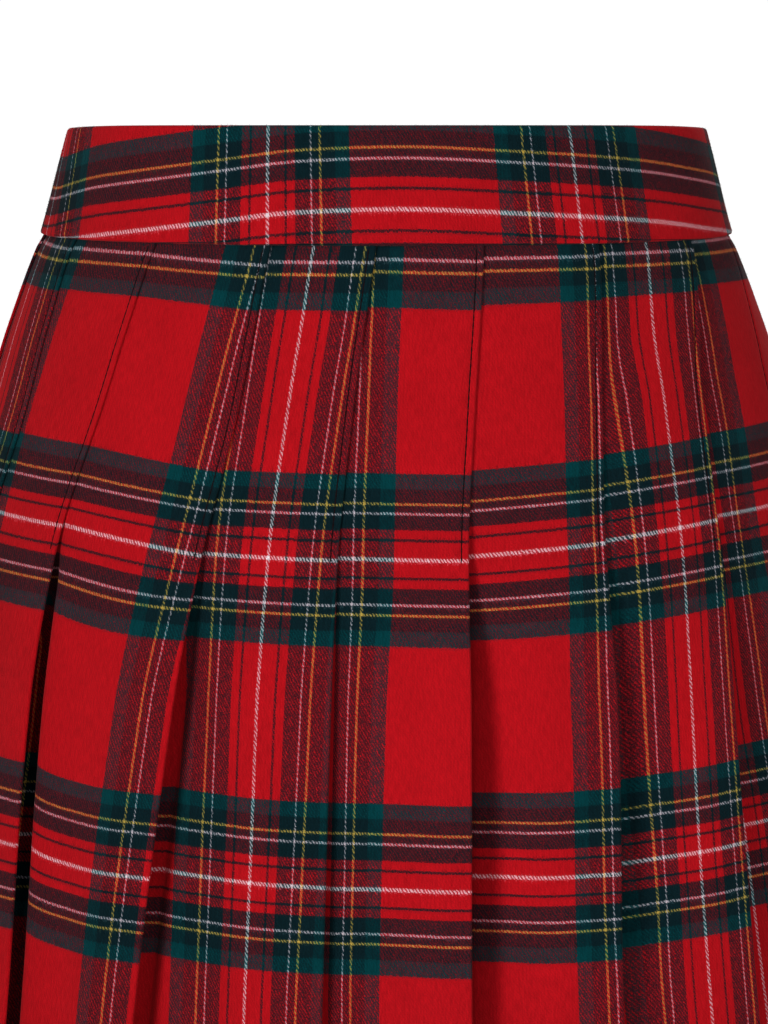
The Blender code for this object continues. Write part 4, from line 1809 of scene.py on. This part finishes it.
LAMPS: Tuple[Lamp, ...] = (
    Lamp("key", (-1.0, -1.8, 0.10), 1.0, 2.35, (0.33, -0.10, -0.08), 27.0),
    Lamp("fill", (0.95, -1.9, 0.35), 1.0, 9.5),
    Lamp("back", (0.3, 1.9, 0.9), 1.2, 22.0),
)


@dataclass
class Studio:
    """Camera, lights and a plain white surround."""

    picture_height: float = 1024.0
    sensor: float = 36.0
    focal_pixels: float = 3160.0
    distance: float = 1.30
    side: float = -0.00123
    horizon: float = 387.0
    ambient: float = 0.30
    background: float = 1.04
    floor_half: float = 5.0
    floor_level: float = -0.70

    def camera(self) -> bpy.types.Object:
        """The camera, level with the waistband's top edge and looking down a little.

        Returns:
            The camera.
        """
        data = bpy.data.cameras.new("camera")
        data.sensor_width = self.sensor
        data.lens = self.focal_pixels * self.sensor / self.picture_height
        data.clip_start = 0.05
        camera = linked("camera", data)
        camera.location = (self.side, -self.distance, 0.0)
        tilt = math.atan(self.horizon / self.focal_pixels)
        camera.rotation_euler = (math.radians(90.0) - tilt, 0.0, 0.0)
        bpy.context.scene.camera = camera
        return camera

    def light(self, lamp: Lamp) -> None:
        """Set up one soft light.

        Args:
            lamp: Its size, power and place.
        """
        data = bpy.data.lights.new(lamp.name, "AREA")
        data.shape = "SQUARE"
        data.size = lamp.size
        data.energy = lamp.power
        data.spread = math.radians(lamp.spread)
        light = linked(lamp.name, data)
        light.location = lamp.place
        towards = Vector(lamp.aim) - Vector(lamp.place)
        light.rotation_euler = towards.to_track_quat("-Z", "Y").to_euler()

    def surround(self) -> None:
        """A white world for the camera, a dimmer one for the light, and a pale floor."""
        world = bpy.data.worlds.new("white_surround")
        bpy.context.scene.world = world
        world.use_nodes = True
        bench = Bench(world.node_tree)
        background = world.node_tree.nodes["Background"]
        seen = bench.node("ShaderNodeLightPath").outputs["Is Camera Ray"]
        strength = bench.plus(self.ambient, bench.times(seen, self.background - self.ambient))
        background.inputs["Color"].default_value = (1.0, 1.0, 1.0, 1.0)
        bench.feed(background.inputs["Strength"], strength)
        mesh = bpy.data.meshes.new("studio_floor")
        half, level = self.floor_half, self.floor_level
        corners = [(-half, -half, level), (half, -half, level), (half, half, level),
                   (-half, half, level)]
        mesh.from_pydata(corners, [], [(0, 1, 2, 3)])
        floor = linked("studio_floor", mesh)
        material, _, shader = new_material("pale_floor")
        shader.inputs["Base Color"].default_value = (0.85, 0.85, 0.85, 1.0)
        shader.inputs["Roughness"].default_value = 0.9
        mesh.materials.append(material)
        floor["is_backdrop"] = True

    def build(self) -> None:
        """Set up the whole studio."""
        bpy.context.scene.view_settings.view_transform = "Standard"
        self.camera()
        self.surround()
        for lamp in LAMPS:
            self.light(lamp)


def write_sizes(after: object) -> None:
    """Define a way to turn a box into plain lists; nothing is kept.

    Args:
        after: The box of what shows; not used.
    """
    def plain(box: Sequence[Sequence[float]]) -> List[List[float]]:
        """A box as lists of numbers."""
        return [[float(x) for x in corner] for corner in box]


def main() -> None:
    """Dress the skirt and set up the studio."""
    logging.basicConfig(level=logging.INFO, format="%(name)s: %(message)s")
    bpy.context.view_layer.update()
    Studio().build()
    yarns = Yarns()
    warp_sett = Sett("warp_sett", 1.6, (45.4, 47.5), (54.4, 57.5)).group(yarns)
    weft_sett = Sett("weft_sett", 1.85, (44.9, 47.5), (54.6, 57.3)).group(yarns)
    twill = twill_group(warp_sett, weft_sett)
    cloth = TartanCloth().make(twill)
    band = TartanCloth(name="tartan_band_twill", bump=0.45).make(twill)
    thread = Plain.THREAD.value.make()
    body = PleatedBody()
    body.build(cloth)
    Waistband().build(band)
    Stitching(body).build(thread)
    BackZip().build(Plain.TAPE.value.make(), Plain.METAL.value.make())
    write_sizes(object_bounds())


if __name__ == "__main__":
    main()
